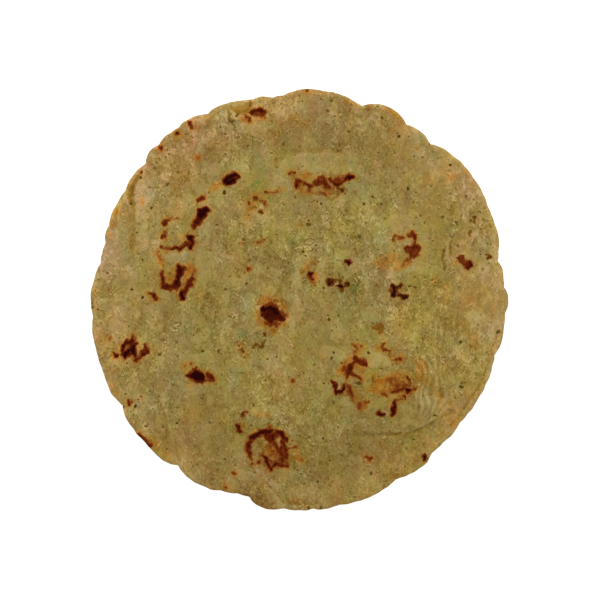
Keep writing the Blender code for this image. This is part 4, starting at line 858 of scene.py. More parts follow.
def domes_at(domes, points):
    """Summed height at each point of the domes in a table of blisters or hollows."""
    total = np.zeros(len(points))
    for _, x, y, half_length, half_width, turn, rise in domes:
        away = points - np.array((x, y))
        cosine, sine = math.cos(math.radians(turn)), math.sin(math.radians(turn))
        along = (away[:, 0] * cosine + away[:, 1] * sine) / half_length
        across = (away[:, 1] * cosine - away[:, 0] * sine) / half_width
        total += rise * np.clip(1.0 - along ** 2 - across ** 2, 0.0, 1.0) ** BLISTER_STEEPNESS
    return total


def strokes_over(strokes, pixels, reach, loose_gap=math.inf):
    """Yields each stroke's strength, the points near it, and how far inside its edge each lies."""
    for name, strength, *stops in strokes:
        allowed_gap = math.inf if name.endswith("line") else loose_gap
        stops = np.array(stops, dtype=float)
        margin = reach + stops[:, 2].max()
        low = stops[:, :2].min(axis=0) - margin
        high = stops[:, :2].max(axis=0) + margin
        near = np.flatnonzero(np.all((pixels > low) & (pixels < high), axis=1))
        inside = np.full(len(near), -reach)
        for start, end in [(stop, stop) for stop in stops] + list(zip(stops, stops[1:])):
            step = end[:2] - start[:2]
            if np.linalg.norm(step) > start[2] + end[2] + allowed_gap:
                continue
            away = pixels[near] - start[:2]
            share = np.clip(away @ step / max(step @ step, 1e-9), 0.0, 1.0)
            distance = np.linalg.norm(away - share[:, None] * step, axis=1)
            inside = np.maximum(inside, start[2] + (end[2] - start[2]) * share - distance)
        yield strength, near, inside


def wash(strokes, pixels, softness, loose_gap=LOOSE_GAP):
    """Strength of a table of washes at each point, from 0 to 1."""
    left = np.ones(len(pixels))
    for strength, near, inside in strokes_over(strokes, pixels, softness, loose_gap):
        left[near] *= 1.0 - strength * smooth(0.5 + inside / (2.0 * softness))
    return 1.0 - left


def scorch(pixels, marks=SCORCHES):
    """How far inside a scorched mark each point lies, in pixels, and how dark the mark is."""
    depth = np.full(len(pixels), -SCORCH_REACH)
    share_sum = np.full(len(pixels), 1e-6)
    tone_sum = np.zeros(len(pixels))
    strokes = [(name, *stroke) for name, *parts in marks for stroke in parts]
    for tone, near, inside in strokes_over(strokes, pixels, SCORCH_REACH):
        depth[near] = np.maximum(depth[near], inside)
        share = np.exp(TONE_SHARPNESS * inside)
        share_sum[near] += share
        tone_sum[near] += share * tone
    return depth, tone_sum / share_sum


def torn_pixels(points):
    """Pixels of the points for marks whose edges are torn: they wander in long and in short waves."""
    return in_pixels(wandering(wandering(points, *LONG_TEARS), *SHORT_TEARS))


def scorch_pixels(points):
    """Pixels of the points for scorched strokes, whose edges wander only a little."""
    return in_pixels(wandering(points, *SCORCH_TEARS))


def creases_at(pixels):
    """Height of the grooves and of the lips on both sides of them."""
    height = np.zeros(len(pixels))
    for depth, near, inside in strokes_over(CREASES, pixels, CREASE_REACH):
        lip = np.exp(-((inside + CREASE_LIP_AWAY) / CREASE_LIP_WIDTH) ** 2)
        height[near] += depth * (CREASE_LIP * lip - smooth(0.5 + inside / CREASE_SLOPE))
    return height


def folds_at(points):
    """Fine folds that run round the outer side of the south-east blister: -1 in them, 1 between."""
    away = points - np.array(WRINKLE_MIDDLE)
    reach = np.linalg.norm(away, axis=1)
    side = np.degrees(np.arctan2(away[:, 1], away[:, 0]))
    (near, far), (near_fade, far_fade) = WRINKLE_SPAN, WRINKLE_SPAN_FADES
    first, last = WRINKLE_SIDE
    shown = smooth((reach - near) / near_fade) * smooth((far - reach) / far_fade)
    shown *= smooth((side - first) / WRINKLE_SIDE_FADE) * smooth((last - side) / WRINKLE_SIDE_FADE)
    wander = WRINKLE_WANDER * lumps(points, *WRINKLE_RAGGED)
    return shown * np.sin(2.0 * np.pi * (reach / WRINKLE_GAP + wander))


def top_heights(points, inset):
    """Heights of the upper face: the part's own form, then the finer relief of its marks."""
    pixels = in_pixels(points)
    body = RIM_WIDEST_AT + (RIM_THICKNESS - RIM_WIDEST_AT) * arch(inset / TOP_ROUNDING)
    edge, slope = puff_edge(angles_of(points))
    torn = smooth((TORN_SLOPE - slope) / TORN_SLOPE_FADE)
    edge += TEAR_RAGGEDNESS * torn * lumps(points, *TEAR_RAGGED)
    slope = slope * (SLOPE_WIDENED - torn)
    puff = PUFF_HEIGHT * smooth((edge - np.linalg.norm(points, axis=1)) / slope + 0.5)
    relief = puff + domes_at(BLISTERS, points) + LUMP_HEIGHT * lumps(points, LUMP_WIDTH)
    depth, tone = scorch(scorch_pixels(points))
    fine = CRUST_HEIGHT * tone * smooth(0.5 + depth / CRUST_SLOPE)
    fine -= TORN_DEPTH * wash(OCHRES, pixels, OCHRE_SOFTNESS)
    fine += creases_at(pixels) + WRINKLE_HEIGHT * folds_at(points)
    fine += SKIN_HEIGHT * smooth(wash(PALE_SKIN, torn_pixels(points), SKIN_SOFTNESS))
    fine -= GAP_DEPTH * wash(GAPS_AND_PAINTED_SHADOWS, pixels, GAP_AND_SHADOW_SOFTNESS, math.inf)
    heights = warp_at(points) + body + smooth(inset / RELIEF_FADE) * relief
    heights += smooth(inset / FINE_FADE) * fine
    return np.where(heights > CREST, CREST + CREST_SHARE * (heights - CREST), heights)


def under_heights(points, inset):
    rounding = RIM_WIDEST_AT * (1.0 - arch(inset / UNDER_ROUNDING))
    return warp_at(points) + rounding + domes_at(UNDER_HOLLOWS, points)


def stitch(outer, inner):
    """Triangles between two closed rings, each evenly spaced from the same angle, facing up."""
    triangles = []
    outward = inward = 0
    inner_steps = len(inner) if len(inner) > 1 else 0
    while outward < len(outer) or inward < inner_steps:
        out_point = outer[outward % len(outer)]
        in_point = inner[inward % len(inner)]
        if inward == inner_steps or (outward + 1) * len(inner) <= (inward + 1) * len(outer):
            outward += 1
            triangles.append((out_point, outer[outward % len(outer)], in_point))
        else:
            inward += 1
            triangles.append((inner[inward % len(inner)], in_point, out_point))
    return triangles


def face_rings(rings, insets):
    """Points of one face, ring by ring from its middle outwards, without the rim itself."""
    counts = [(1, 0.0, FLAT_INSET)]
    counts += [(6 * ring, ring / rings, FLAT_INSET) for ring in range(1, rings + 1)]
    counts += [(6 * TOP_RINGS, 1.0, inset) for inset in insets]
    made = []
    for count, share, inset in counts:
        angles = np.arange(count) * FULL_TURN / count
        made.append(on_circle(angles, share * (rim_radius(angles) - inset)))
    return made


def rim_points():
    angles = np.arange(6 * TOP_RINGS) * FULL_TURN / (6 * TOP_RINGS)
    return on_circle(angles, rim_radius(angles))


def closed_face(rings, first, rim):
    """Triangles of one face, facing up, whose points are numbered on from the first."""
    numbers = []
    for ring in rings:
        numbers.append(range(first, first + len(ring)))
        first += len(ring)
    numbers.append(rim)
    triangles = []
    for inner, outer in zip(numbers, numbers[1:]):
        triangles += stitch(outer, inner)
    return np.array(triangles)


def corners_turned(triangles, middles, wanted):
    """The triangles and their edge middles, turned until the wanted corner comes first."""
    rows = np.arange(len(triangles))[:, None]
    order = (wanted[:, None] + np.arange(3)) % 3
    return triangles[rows, order], middles[rows, order]


def split_edges(points, triangles, wanted):
    """Halves the edges whose two ends are both wanted, and closes the triangles round them."""
    sides = np.sort(triangles[:, [0, 1, 1, 2, 2, 0]].reshape(-1, 2), axis=1)
    edges, side_edges = np.unique(sides, axis=0, return_inverse=True)
    halved = np.flatnonzero(wanted[edges].all(axis=1))
    middle_of = np.full(len(edges), -1)
    middle_of[halved] = len(points) + np.arange(len(halved))
    middles = middle_of[side_edges.ravel()].reshape(-1, 3)
    grown = np.vstack([points, points[edges[halved]].mean(axis=1)])
    cuts = (middles >= 0).sum(axis=1)
    made = [triangles[cuts == 0]]
    once = cuts == 1
    (a, b, c), (ab, _, _) = [part.T for part in corners_turned(
        triangles[once], middles[once], np.argmax(middles[once] >= 0, axis=1))]
    made += [np.stack(corners, axis=1) for corners in ((a, ab, c), (ab, b, c))]
    twice = cuts == 2
    (a, b, c), (ab, bc, _) = [part.T for part in corners_turned(
        triangles[twice], middles[twice], (np.argmin(middles[twice], axis=1) + 1) % 3)]
    made += [np.stack(corners, axis=1) for corners in ((ab, b, bc), (a, ab, bc), (a, bc, c))]
    thrice = cuts == 3
    (a, b, c), (ab, bc, ca) = triangles[thrice].T, middles[thrice].T
    made += [np.stack(corners, axis=1) for corners in
             ((a, ab, ca), (ab, b, bc), (ca, bc, c), (ab, bc, ca))]
    return grown, np.vstack(made)


def detail_at(points):
    """Which points lie near enough to a mark to need a finer mesh, for the first and second halving."""
    pixels = in_pixels(points)
    depth, _ = scorch(scorch_pixels(points))
    pale = wash(PALES_AND_HIGHLIGHTS, pixels, PALE_SOFTNESS)
    torn = wash(OCHRES, pixels, OCHRE_SOFTNESS)
    near = (depth > -NEAR_A_MARK) | (pale > PALE_SHOWS) | (torn > TORN_SHOWS)
    at_edge = np.abs(depth) < AT_AN_EDGE
    return near, at_edge


def round_mesh():
    """The closed round as flat points, triangles, insets and which points are of the underside."""
    top = face_rings(TOP_RINGS, TOP_INSETS)
    under = face_rings(UNDER_RINGS, UNDER_INSETS)
    rim = rim_points()
    under_count = sum(len(ring) for ring in under)
    rim_numbers = range(under_count, under_count + len(rim))
    points = np.vstack(under + [rim] + top)
    under_faces = closed_face(under, 0, rim_numbers)[:, ::-1]
    triangles = closed_face(top, under_count + len(rim), rim_numbers)
    for step in range(2):
        wanted = detail_at(points)[step]
        wanted[:under_count + len(rim)] = False
        points, triangles = split_edges(points, triangles, wanted)
    is_under = np.arange(len(points)) < under_count
    is_rim = (np.arange(len(points)) >= under_count) & (np.arange(len(points)) < under_count + len(rim))
    inset = rim_radius(angles_of(points)) - np.linalg.norm(points, axis=1)
    inset[is_rim] = 0.0
    return points, np.vstack([under_faces, triangles]), np.maximum(inset, 0.0), is_under


def mesh_from(name, points, faces):
    mesh = bpy.data.meshes.new(name)
    mesh.from_pydata(points, [], faces)
    mesh.shade_smooth()
    return mesh


def keep(mesh, name, values, kind="FLOAT"):
    """Stores one number, or one direction, for each point of a mesh."""
    layer = mesh.attributes.new(name, kind, "POINT")
    layer.data.foreach_set("vector" if kind == "FLOAT_VECTOR" else "value", np.ravel(values))


def patches_at(patches, pixels):
    """Summed strength at each point of round soft patches."""
    total = np.zeros(len(pixels))
    for strength, across, down, radius in patches:
        reach = np.linalg.norm(pixels - np.array((across, down)), axis=1)
        total += strength * np.exp(-(reach / radius) ** 2)
    return total


def marked_fields(points, inset, is_under):
    """The strength of each kind of mark at the points of the mesh. The underside has none of them."""
    pixels = in_pixels(points)
    near_marks = scorch_pixels(points)
    depth, tone = scorch(near_marks)
    warm_depth, _ = scorch(near_marks, [mark for mark in SCORCHES if mark[0] not in COLD_MARKS])
    sooty_depth, _ = scorch(near_marks, [mark for mark in SCORCHES if mark[0] in SOOTY_MARKS])
    scab = wash(SCABS, near_marks, SCAB_SOFTNESS)
    bare = (depth < BARE_DEPTH) & (scab < BARE_SCAB) & (inset > BARE_INSET)
    fields = {
        "char_tone": tone,
        "bare": bare,
        "scab": scab,
        "soot": smooth(0.5 + sooty_depth / SOOT_SLOPE),
        "toast": wash(TOASTS, pixels, TOAST_SOFTNESS),
        "ochre": wash(OCHRES, pixels, OCHRE_SOFTNESS),
        "pale": wash(PALES_AND_HIGHLIGHTS, pixels, PALE_SOFTNESS),
        "skin": wash(PALE_SKIN, torn_pixels(points), SKIN_SOFTNESS),
        # the folds' wave, which the material also paints as shade in the grooves and light on the ridges
        "fold": folds_at(points),
        # gaps and cracks, and painted shadow lines beside ledges, folds and the rim
        "gap": wash(GAPS_AND_PAINTED_SHADOWS, pixels, GAP_AND_SHADOW_SOFTNESS, math.inf),
        "green": patches_at([(1.0, *spot) for spot in GREEN_TINTS], pixels),
        # wide patches of the masa's own tone and of painted light and shade
        "shade": patches_at(TONE_AND_PAINTED_LIGHT_PATCHES, pixels),
        "yellow": patches_at(YELLOWS, pixels),
        "pink": patches_at(PINKS, pixels),
        "relief_share": smooth(inset / RELIEF_INSET),
    }
    fields = {name: np.where(is_under, 0.0, values) for name, values in fields.items()}
    fields["char_depth"] = np.where(is_under, -SCORCH_REACH, depth)
    fields["glow_depth"] = np.where(is_under, -SCORCH_REACH, warm_depth)
    fields["underside"] = np.where(is_under, 1.0, 0.0)
    fields["inset"] = inset
    return fields


def add_object(name, data):
    made = bpy.data.objects.new(name, data)
    bpy.context.scene.collection.objects.link(made)
    return made


def crust_object():
    """The round's skin, with the strength of each kind of mark stored at its points."""
    points, faces, inset, is_under = round_mesh()
    heights = np.where(is_under, under_heights(points, inset), top_heights(points, inset))
    placed = np.column_stack([points - outline_middle(), heights]) * METRES
    mesh = mesh_from("tostada_crust", placed.tolist(), faces.tolist())
    for name, values in marked_fields(points, inset, is_under).items():
        keep(mesh, name, values)
    return add_object("tostada_crust", mesh)


class Nodes:
    """Short ways to add nodes to a tree. Each gives back the new node's output."""

    def __init__(self, tree):
        self.tree = tree

    def add(self, kind, **settings):
        node = self.tree.nodes.new(kind)
        for name, value in settings.items():
            setattr(node, name, value)
        return node

    def feed(self, socket, source):
        """Links an output into a socket, or sets a plain value there."""
        if isinstance(source, bpy.types.NodeSocket):
            self.tree.links.new(source, socket)
        else:
            socket.default_value = source

    def feed_named(self, node, **sources):
        """Feeds inputs by their names, where a low line stands for a space."""
        for name, source in sources.items():
            wanted = name.replace("_", " ")
            socket = next(item for item in node.inputs if item.enabled and item.name == wanted)
            self.feed(socket, source)
        return next(item for item in node.outputs if item.enabled)

    def worked_out(self, kind, operation, sources):
        node = self.add(kind, operation=operation)
        for socket, source in zip(node.inputs, sources):
            self.feed(socket, source)
        return node.outputs[0]

    def maths(self, operation, *sources):
        return self.worked_out("ShaderNodeMath", operation, sources)

    def vector(self, operation, *sources):
        return self.worked_out("ShaderNodeVectorMath", operation, sources)

    def plus(self, *sources):
        return self.maths("ADD", *sources)

    def times(self, *sources):
        return self.maths("MULTIPLY", *sources)

    def times_plus(self, *sources):
        """The first source times the second, plus the third."""
        return self.maths("MULTIPLY_ADD", *sources)

    def tinted(self, colour, tint):
        return self.vector("MULTIPLY", colour, tint)

    def scaled(self, source, share):
        node = self.add("ShaderNodeVectorMath", operation="SCALE")
        self.feed(node.inputs[0], source)
        self.feed(node.inputs["Scale"], share)
        return node.outputs[0]

    def noise(self, place, cloud):
        """Cloudy noise round 0.5. A cloud is the width of its lumps, its detail, roughness and seed."""
        width, detail, roughness, seed = cloud
        node = self.add("ShaderNodeTexNoise", noise_dimensions="4D")
        return self.feed_named(
            node, Vector=place, W=seed, Scale=1.0 / (width * METRES), Detail=detail, Roughness=roughness)

    def uneven(self, place, cloud):
        """The same noise, round 0."""
        return self.maths("SUBTRACT", self.noise(place, cloud), 0.5)

    def swayed(self, place, width, reach):
        """The place moved about by noise of that width, up to about that far, in millimetres."""
        node = self.add("ShaderNodeTexNoise", noise_dimensions="3D")
        self.feed_named(node, Vector=place, Scale=1.0 / (width * METRES), Detail=2.0)
        away = self.vector("SUBTRACT", node.outputs["Color"], (0.5, 0.5, 0.5))
        return self.vector("ADD", place, self.scaled(away, 2.0 * reach * METRES))

    def cells(self, place, width):
        """A tone from 0 to 1 for each crumb of about that width in millimetres."""
        node = self.add("ShaderNodeTexVoronoi")
        self.feed_named(node, Vector=place, Scale=1.0 / (width * METRES))
        split = self.add("ShaderNodeSeparateColor")
        self.feed(split.inputs[0], node.outputs["Color"])
        return split.outputs[0]

    def step(self, source, low, high, start=0.0, end=1.0):
        """Goes smoothly from start to end as the source goes from low to high."""
        node = self.add("ShaderNodeMapRange", interpolation_type="SMOOTHSTEP")
        return self.feed_named(
            node, Value=source, From_Min=low, From_Max=high, To_Min=start, To_Max=end)

    def patches(self, place, cloud, edges):
        """Patches of noise: the cloud, taken through a step with those edges."""
        return self.step(self.noise(place, cloud), *edges)

    def attribute(self, name):
        return self.add("ShaderNodeAttribute", attribute_name=name).outputs["Fac"]

    def ramp(self, source, stops):
        """A colour ramp over stops, each with its place from 0 to 1 and its colour."""
        node = self.add("ShaderNodeValToRGB")
        elements = node.color_ramp.elements
        while len(elements) < len(stops):
            elements.new(0.5)
        for element, (place, colour) in zip(elements, stops):
            element.position = place
            element.color = colour
        self.feed(node.inputs[0], source)
        return node.outputs[0]

    def mix(self, share, first, second):
        node = self.add("ShaderNodeMix", data_type="RGBA")
        self.feed(node.inputs[0], share)
        self.feed(node.inputs[6], first)
        self.feed(node.inputs[7], second)
        return node.outputs[2]

    def stored(self, name, kind="FLOAT"):
        """What a geometry tree finds stored under that name at its points."""
        return self.feed_named(self.add("GeometryNodeInputNamedAttribute", data_type=kind), Name=name)

    def drawn(self, low, high, seed, kind="FLOAT"):
        """A value drawn at random between two others, for each point."""
        node = self.add("FunctionNodeRandomValue", data_type=kind)
        return self.feed_named(node, Min=low, Max=high, Seed=seed)


def paint(red, green, blue):
    """A colour given from 0 to 255 in each channel, as the linear colour that a shader takes."""
    linear = []
    for value in (red, green, blue):
        share = value / 255.0
        linear.append(share / 12.92 if share <= 0.04045 else ((share + 0.055) / 1.055) ** 2.4)
    return (*linear, 1.0)


# Clouds of noise: the width of their largest lumps in millimetres, their detail, roughness and seed
MOTTLE = (14.0, 6.0, 0.98, 1.0)
GRIT = (0.7, 1.0, 0.9, 1.5)
PINKNESS = (9.0, 3.0, 0.92, 3.0)
YELLOWNESS = (13.0, 3.0, 0.92, 4.0)
RAGGED_CHAR = (2.0, 5.0, 0.85, 7.0)
CRUMBLY = (1.1, 4.0, 0.7, 9.0)
GRAIN = (1.3, 4.0, 0.85, 10.0)
FLECK_TONE = (1.2, 3.0, 0.7, 11.0)
FLECK_GRAIN = (0.5, 3.0, 0.7, 12.0)
VEINS = (4.5, 3.0, 0.6, 13.0)
TORN_SKIN = (3.6, 5.0, 0.78, 16.0)
FRAYED_CHAR = (0.8, 2.0, 0.8, 17.0)
FLAKE_LINES = (2.4, 1.0, 0.5, 21.0)

# Patches of such noise, each with where its edge starts and ends and what it goes from and to there
PITS = ((2.2, 5.0, 0.8, 2.0), (0.57, 0.68, 0.0, -0.24))
CLUMPS = ((5.5, 5.0, 0.72, 2.5), (0.49, 0.56, -0.05, 0.1))
UNEVEN_TOAST = ((2.4, 5.0, 0.8, 5.0), (0.4, 0.62, 0.6, 1.4))
TOAST_BELOW = ((9.0, 4.0, 0.6, 6.0), (0.5, 0.7, 0.0, 0.26))
UNEVEN_CHAR = ((1.4, 4.0, 0.8, 8.0), (0.36, 0.62, 0.6, 1.12))
CRACKED = ((9.0, 3.0, 0.6, 14.0), (0.5, 0.58))
ROUGH_PLACES = ((22.0, 2.0, 0.5, 15.0), (0.38, 0.62, 0.7, 1.3))
BROKEN_SCABS = ((1.3, 4.0, 0.8, 18.0), (0.36, 0.6, 0.3, 1.15))
GREEN_FLECKS = ((9.0, 1.0, 0.5, 19.0), (0.5, 0.56))
FLAKED = ((2.4, 2.0, 0.6, 22.0), (0.5, 0.6))
SPECKS = ((0.9, 1.0, 0.5, 23.0), (0.66, 0.74, 0.0, -0.3))

# Colours of the masa from its darkest to its lightest, of its scorched marks by how dark they are, of
# the masa under its torn skin, of flour on it and of its painted highlights, and of the flecks from pale
# corn to black-green
MASA_COLOURS = (
    (0.0, paint(108, 80, 32)),
    (0.19, paint(129, 101, 45)),
    (0.31, paint(138, 112, 55)),
    (0.44, paint(147, 121, 63)),
    (0.56, paint(156, 131, 72)),
    (0.69, paint(166, 140, 81)),
    (0.81, paint(177, 151, 92)),
    (1.0, paint(196, 170, 112)),
)
SCORCH_COLOURS = (
    (0.0, paint(150, 112, 56)),
    (0.15, paint(144, 92, 38)),
    (0.32, paint(127, 66, 20)),
    (0.5, paint(112, 46, 12)),
    (0.66, paint(98, 33, 6)),
    (0.82, paint(72, 18, 3)),
    (1.0, paint(40, 3, 2)),
)
OCHRE_COLOURS = (
    (0.45, paint(176, 134, 58)),
    (0.7, paint(156, 113, 38)),
    (0.95, paint(116, 78, 20)),
)
FLOUR_AND_HIGHLIGHT_COLOURS = (
    (0.3, paint(178, 152, 96)),
    (0.7, paint(204, 182, 130)),
)
FLECK_COLOURS = (
    (0.0, paint(186, 162, 102)),
    (0.25, paint(166, 140, 80)),
    (0.45, paint(130, 102, 46)),
    (0.7, paint(96, 72, 20)),
    (1.0, paint(46, 34, 6)),
)

# Tints that colours are multiplied by. Those of the toast are kept at half, as a ramp ends at 1.
PLAIN = (1.0, 1.0, 1.0, 1.0)
SOOTED = (0.72, 1.9, 1.3, 1.0)
NOPAL_TINT = (0.86, 0.98, 0.94, 1.0)
# Painted light on the rim's rounded edge, which the lamps leave darker
EDGE_PAINTED_LIGHT = (1.1, 1.08, 1.1, 1.0)
GREENED = (0.66, 0.86, 0.72, 1.0)
# How gaps and cracks are darkened, and the painted shadow lines, by their strength
GAP_AND_SHADOW_TINTS = (
    (0.0, PLAIN),
    (0.6, (0.77, 0.67, 0.3, 1.0)),
    (1.0, (0.44, 0.38, 0.2, 1.0)),
)
TOAST_TINT_SCALE = 2.0
TOAST_TINTS = (
    (0.0, (0.5, 0.5, 0.5, 1.0)),
    (0.3, (0.58, 0.42, 0.26, 1.0)),
    (0.55, (0.56, 0.3, 0.14, 1.0)),
    (0.8, (0.48, 0.2, 0.055, 1.0)),
    (1.0, (0.36, 0.14, 0.035, 1.0)),
)
PINK_OR_GREEN = (0.58, -0.33, 0.0)
YELLOW_OR_GREY = (0.15, 0.0, -1.75)
NO_TINT = (1.03, 1.03, 1.015)

# How light the masa is and how strongly each thing changes that. A sway has its width and its reach in
# millimetres, and clumps have their width and their share. The others in brackets are steps: where one
# starts and ends, and what it goes from and to if that isn't 0 to 1.
MASA_MIDDLE = 0.54
MASA_CONTRAST = 1.45
MASA_SWAY = (1.6, 1.1)
CLUMP_CONTRASTS = ((2.6, 0.14), (0.95, 0.15))
GRIT_CONTRAST = 0.6
CRACK_DARK = (0.012, 0.0, 0.0, -0.2)
# Flake edges: their sway, their edge, the offset of the painted shade line, then how strong the painted
# highlight and the painted shade are
FLAKE_SWAY = (1.1, 0.4)
FLAKE_EDGE = (0.04, 0.0)
FLAKE_SHADE_AWAY = (0.0, 0.00035, 0.0)
FLAKE_PAINTED_HIGHLIGHT = 0.36
FLAKE_PAINTED_SHADE = -0.36
ROUGH_SKIN = (0.0, 1.0, 1.05, 0.64)
SKIN_TEARS = 1.9
SKIN_EDGE = (0.3, 0.6)
SKIN_LIGHTER = 0.13
# The foot of the paler skin's edge, darkened there as painted shade
SKIN_FOOT = ((0.1, 0.28), (0.4, 0.28))
SKIN_FOOT_PAINTED_SHADE = -0.05
# Painted shade in the grooves of the fine folds and painted light on their ridges
FOLD_PAINTED_SHADE = 0.2
RIM_LIGHT = (14.0, 2.0, 0.0, 0.14)
RIM_PINK = (3.0, 26.0, 0.07, -0.07)
# where the painted light on the rounded edge starts and ends, in millimetres from the rim
RIM_EDGE = (2.4, 0.0)

# How the char spreads, and where it, the ochre and the flour cover the masa, as steps in the same form
FRAY_SHARE = 0.6
GLOW_RAGGED = 8.0
GLOW_STRENGTH = (-4.4, 0.4, 0.0, 0.72)
CHAR_RAGGED = 6.5
CHAR_EDGE = (-2.5, 1.5)
CHAR_SOLID = 0.75
SCAB_SOLID = 0.6
CHAR_COVERS = (0.02, 0.34)
OCHRE_COVERS = (0.1, 0.75)
OCHRE_DARKER = 0.88
FLOUR_COVERS = (0.3, 0.6, 0.5, 1.0)

# How the grain runs, how much it changes the roughness and what that starts from, and how bumpy it is
GRAIN_STRETCH = (1.03, 0.7, 1.0)
MASA_ROUGHNESS = (0.2, 0.66)
CHAR_SMOOTHER = -0.25
MASA_BUMP = 0.0006
FLECK_ROUGHNESS = (0.3, 0.68)
FLECK_BUMP = 0.0001
GREEN_TONES = (0.4, 0.65)
SHINE = 0.02


def flake_edges(nodes, place):
    """Thin curled lines, 1 in the middle of each and 0 beside it."""
    return nodes.step(nodes.maths("ABSOLUTE", nodes.uneven(place, FLAKE_LINES)), *FLAKE_EDGE)


def flake_light_and_shade(nodes, place):
    """Painted highlights along curled edges of loose skin, each with a painted shade line just below it, in
    scattered places.
    """
    swayed = nodes.swayed(place, *FLAKE_SWAY)
    below = nodes.vector("ADD", swayed, FLAKE_SHADE_AWAY)
    scattered = nodes.patches(place, *FLAKED)
    edge = nodes.times(flake_edges(nodes, below), FLAKE_PAINTED_SHADE)
    edge = nodes.times_plus(flake_edges(nodes, swayed), FLAKE_PAINTED_HIGHLIGHT, edge)
    return nodes.times(edge, scattered)


def masa_mottle(nodes, place):
    """How much lighter or darker the masa is for its clouds, clumps, crumbs, cracks and specks, and for the
    painted highlights and shade lines of its flake edges.
    """
    swayed = nodes.swayed(place, *MASA_SWAY)
    mottle = nodes.times(nodes.uneven(place, MOTTLE), MASA_CONTRAST)
    for width, contrast in CLUMP_CONTRASTS:
        tone = nodes.maths("SUBTRACT", nodes.cells(swayed, width), 0.5)
        mottle = nodes.times_plus(tone, contrast, mottle)
    mottle = nodes.times_plus(nodes.uneven(place, GRIT), GRIT_CONTRAST, mottle)
    mottle = nodes.plus(mottle, nodes.patches(place, *CLUMPS))
    crack = nodes.step(nodes.maths("ABSOLUTE", nodes.uneven(swayed, VEINS)), *CRACK_DARK)
    cracked = nodes.patches(place, *CRACKED)
    mottle = nodes.times_plus(crack, cracked, mottle)
    mottle = nodes.plus(mottle, flake_light_and_shade(nodes, place))
    return nodes.plus(mottle, nodes.patches(place, *SPECKS))


def masa_light(nodes, place):
    """How light the masa is, from 0 to 1: mottled, paler and smoother on its blisters, lighter towards its
    rim, with painted shade at the blisters' feet and in the folds, painted light on the folds' ridges, and
    wide patches of tone and of painted light and shade.
    """
    edge = nodes.times_plus(nodes.uneven(place, TORN_SKIN), SKIN_TEARS, nodes.attribute("skin"))
    skin = nodes.step(edge, *SKIN_EDGE)
    rough = nodes.patches(place, *ROUGH_PLACES)
    rough = nodes.times(rough, nodes.step(skin, *ROUGH_SKIN))
    light = nodes.times_plus(masa_mottle(nodes, place), rough, MASA_MIDDLE)
    rise, fall = SKIN_FOOT
    # painted shade at the foot of the paler skin's edge
    foot = nodes.times(nodes.step(edge, *rise), nodes.step(edge, *fall))
    light = nodes.times_plus(foot, SKIN_FOOT_PAINTED_SHADE, light)
    light = nodes.plus(light, nodes.patches(place, *PITS))
    # wide patches of the masa's own tone and of painted light and shade
    light = nodes.plus(light, nodes.attribute("shade"))
    # painted shade in the folds' grooves and painted light on their ridges
    light = nodes.times_plus(nodes.attribute("fold"), FOLD_PAINTED_SHADE, light)
    light = nodes.plus(light, nodes.step(nodes.attribute("inset"), *RIM_LIGHT))
    return nodes.times_plus(skin, SKIN_LIGHTER, light)


def masa_colour(nodes, place):
    """The mottled masa, pinker towards the rim and greener in the middle, yellower and greyer, darker in its
    gaps and painted shadow lines, and lightened with painted light at its rounded edge.
    """
    inset = nodes.attribute("inset")
    pinker = nodes.plus(nodes.uneven(place, PINKNESS), nodes.attribute("pink"))
    pinker = nodes.plus(pinker, nodes.step(inset, *RIM_PINK))
    yellower = nodes.plus(nodes.uneven(place, YELLOWNESS), nodes.attribute("yellow"))
    tint = nodes.vector("MULTIPLY_ADD", pinker, PINK_OR_GREEN, NO_TINT)
    tint = nodes.vector("MULTIPLY_ADD", yellower, YELLOW_OR_GREY, tint)
    colour = nodes.ramp(masa_light(nodes, place), MASA_COLOURS)
    for share in (
            tint,
            nodes.mix(nodes.attribute("green"), PLAIN, GREENED),
            nodes.ramp(nodes.attribute("gap"), GAP_AND_SHADOW_TINTS),
            nodes.mix(nodes.step(inset, *RIM_EDGE), PLAIN, EDGE_PAINTED_LIGHT)):
        colour = nodes.tinted(colour, share)
    return colour


def toasted(nodes, place, colour, glow):
    """Washes of orange toast over the masa, round its marks and where the rim was hottest."""
    uneven = nodes.patches(place, *UNEVEN_TOAST)
    toast = nodes.maths("MAXIMUM", nodes.attribute("toast"), glow)
    toast = nodes.times(toast, uneven)
    below = nodes.patches(place, *TOAST_BELOW)
    toast = nodes.times_plus(below, nodes.attribute("underside"), toast)
    tint = nodes.scaled(nodes.ramp(toast, TOAST_TINTS), TOAST_TINT_SCALE)
    return nodes.tinted(colour, tint)


def solid_where(nodes, tone, threshold, pattern):
    """The pattern, fading to an even 1 as the tone goes from the threshold to its darkest."""
    fill = nodes.maths("SUBTRACT", 1.0, pattern)
    return nodes.times_plus(fill, nodes.step(tone, threshold, 1.0), pattern)


def scorch_fields(nodes, place):
    """How strongly the masa glows brown round the scorched marks, and how dark it is in them."""
    ragged = nodes.times_plus(
        nodes.uneven(place, FRAYED_CHAR), FRAY_SHARE, nodes.uneven(place, RAGGED_CHAR))
    tone = nodes.attribute("char_tone")
    around = nodes.times_plus(ragged, GLOW_RAGGED, nodes.attribute("glow_depth"))
    glow = nodes.times(nodes.step(around, *GLOW_STRENGTH), tone)
    depth = nodes.times_plus(ragged, CHAR_RAGGED, nodes.attribute("char_depth"))
    dark = nodes.times(nodes.step(depth, *CHAR_EDGE), tone)
    uneven = nodes.patches(place, *UNEVEN_CHAR)
    dark = nodes.times(dark, solid_where(nodes, tone, CHAR_SOLID, uneven))
    broken = nodes.patches(place, *BROKEN_SCABS)
    scab = nodes.attribute("scab")
    scab = nodes.times(scab, solid_where(nodes, scab, SCAB_SOLID, broken))
    return glow, nodes.maths("MAXIMUM", dark, scab)


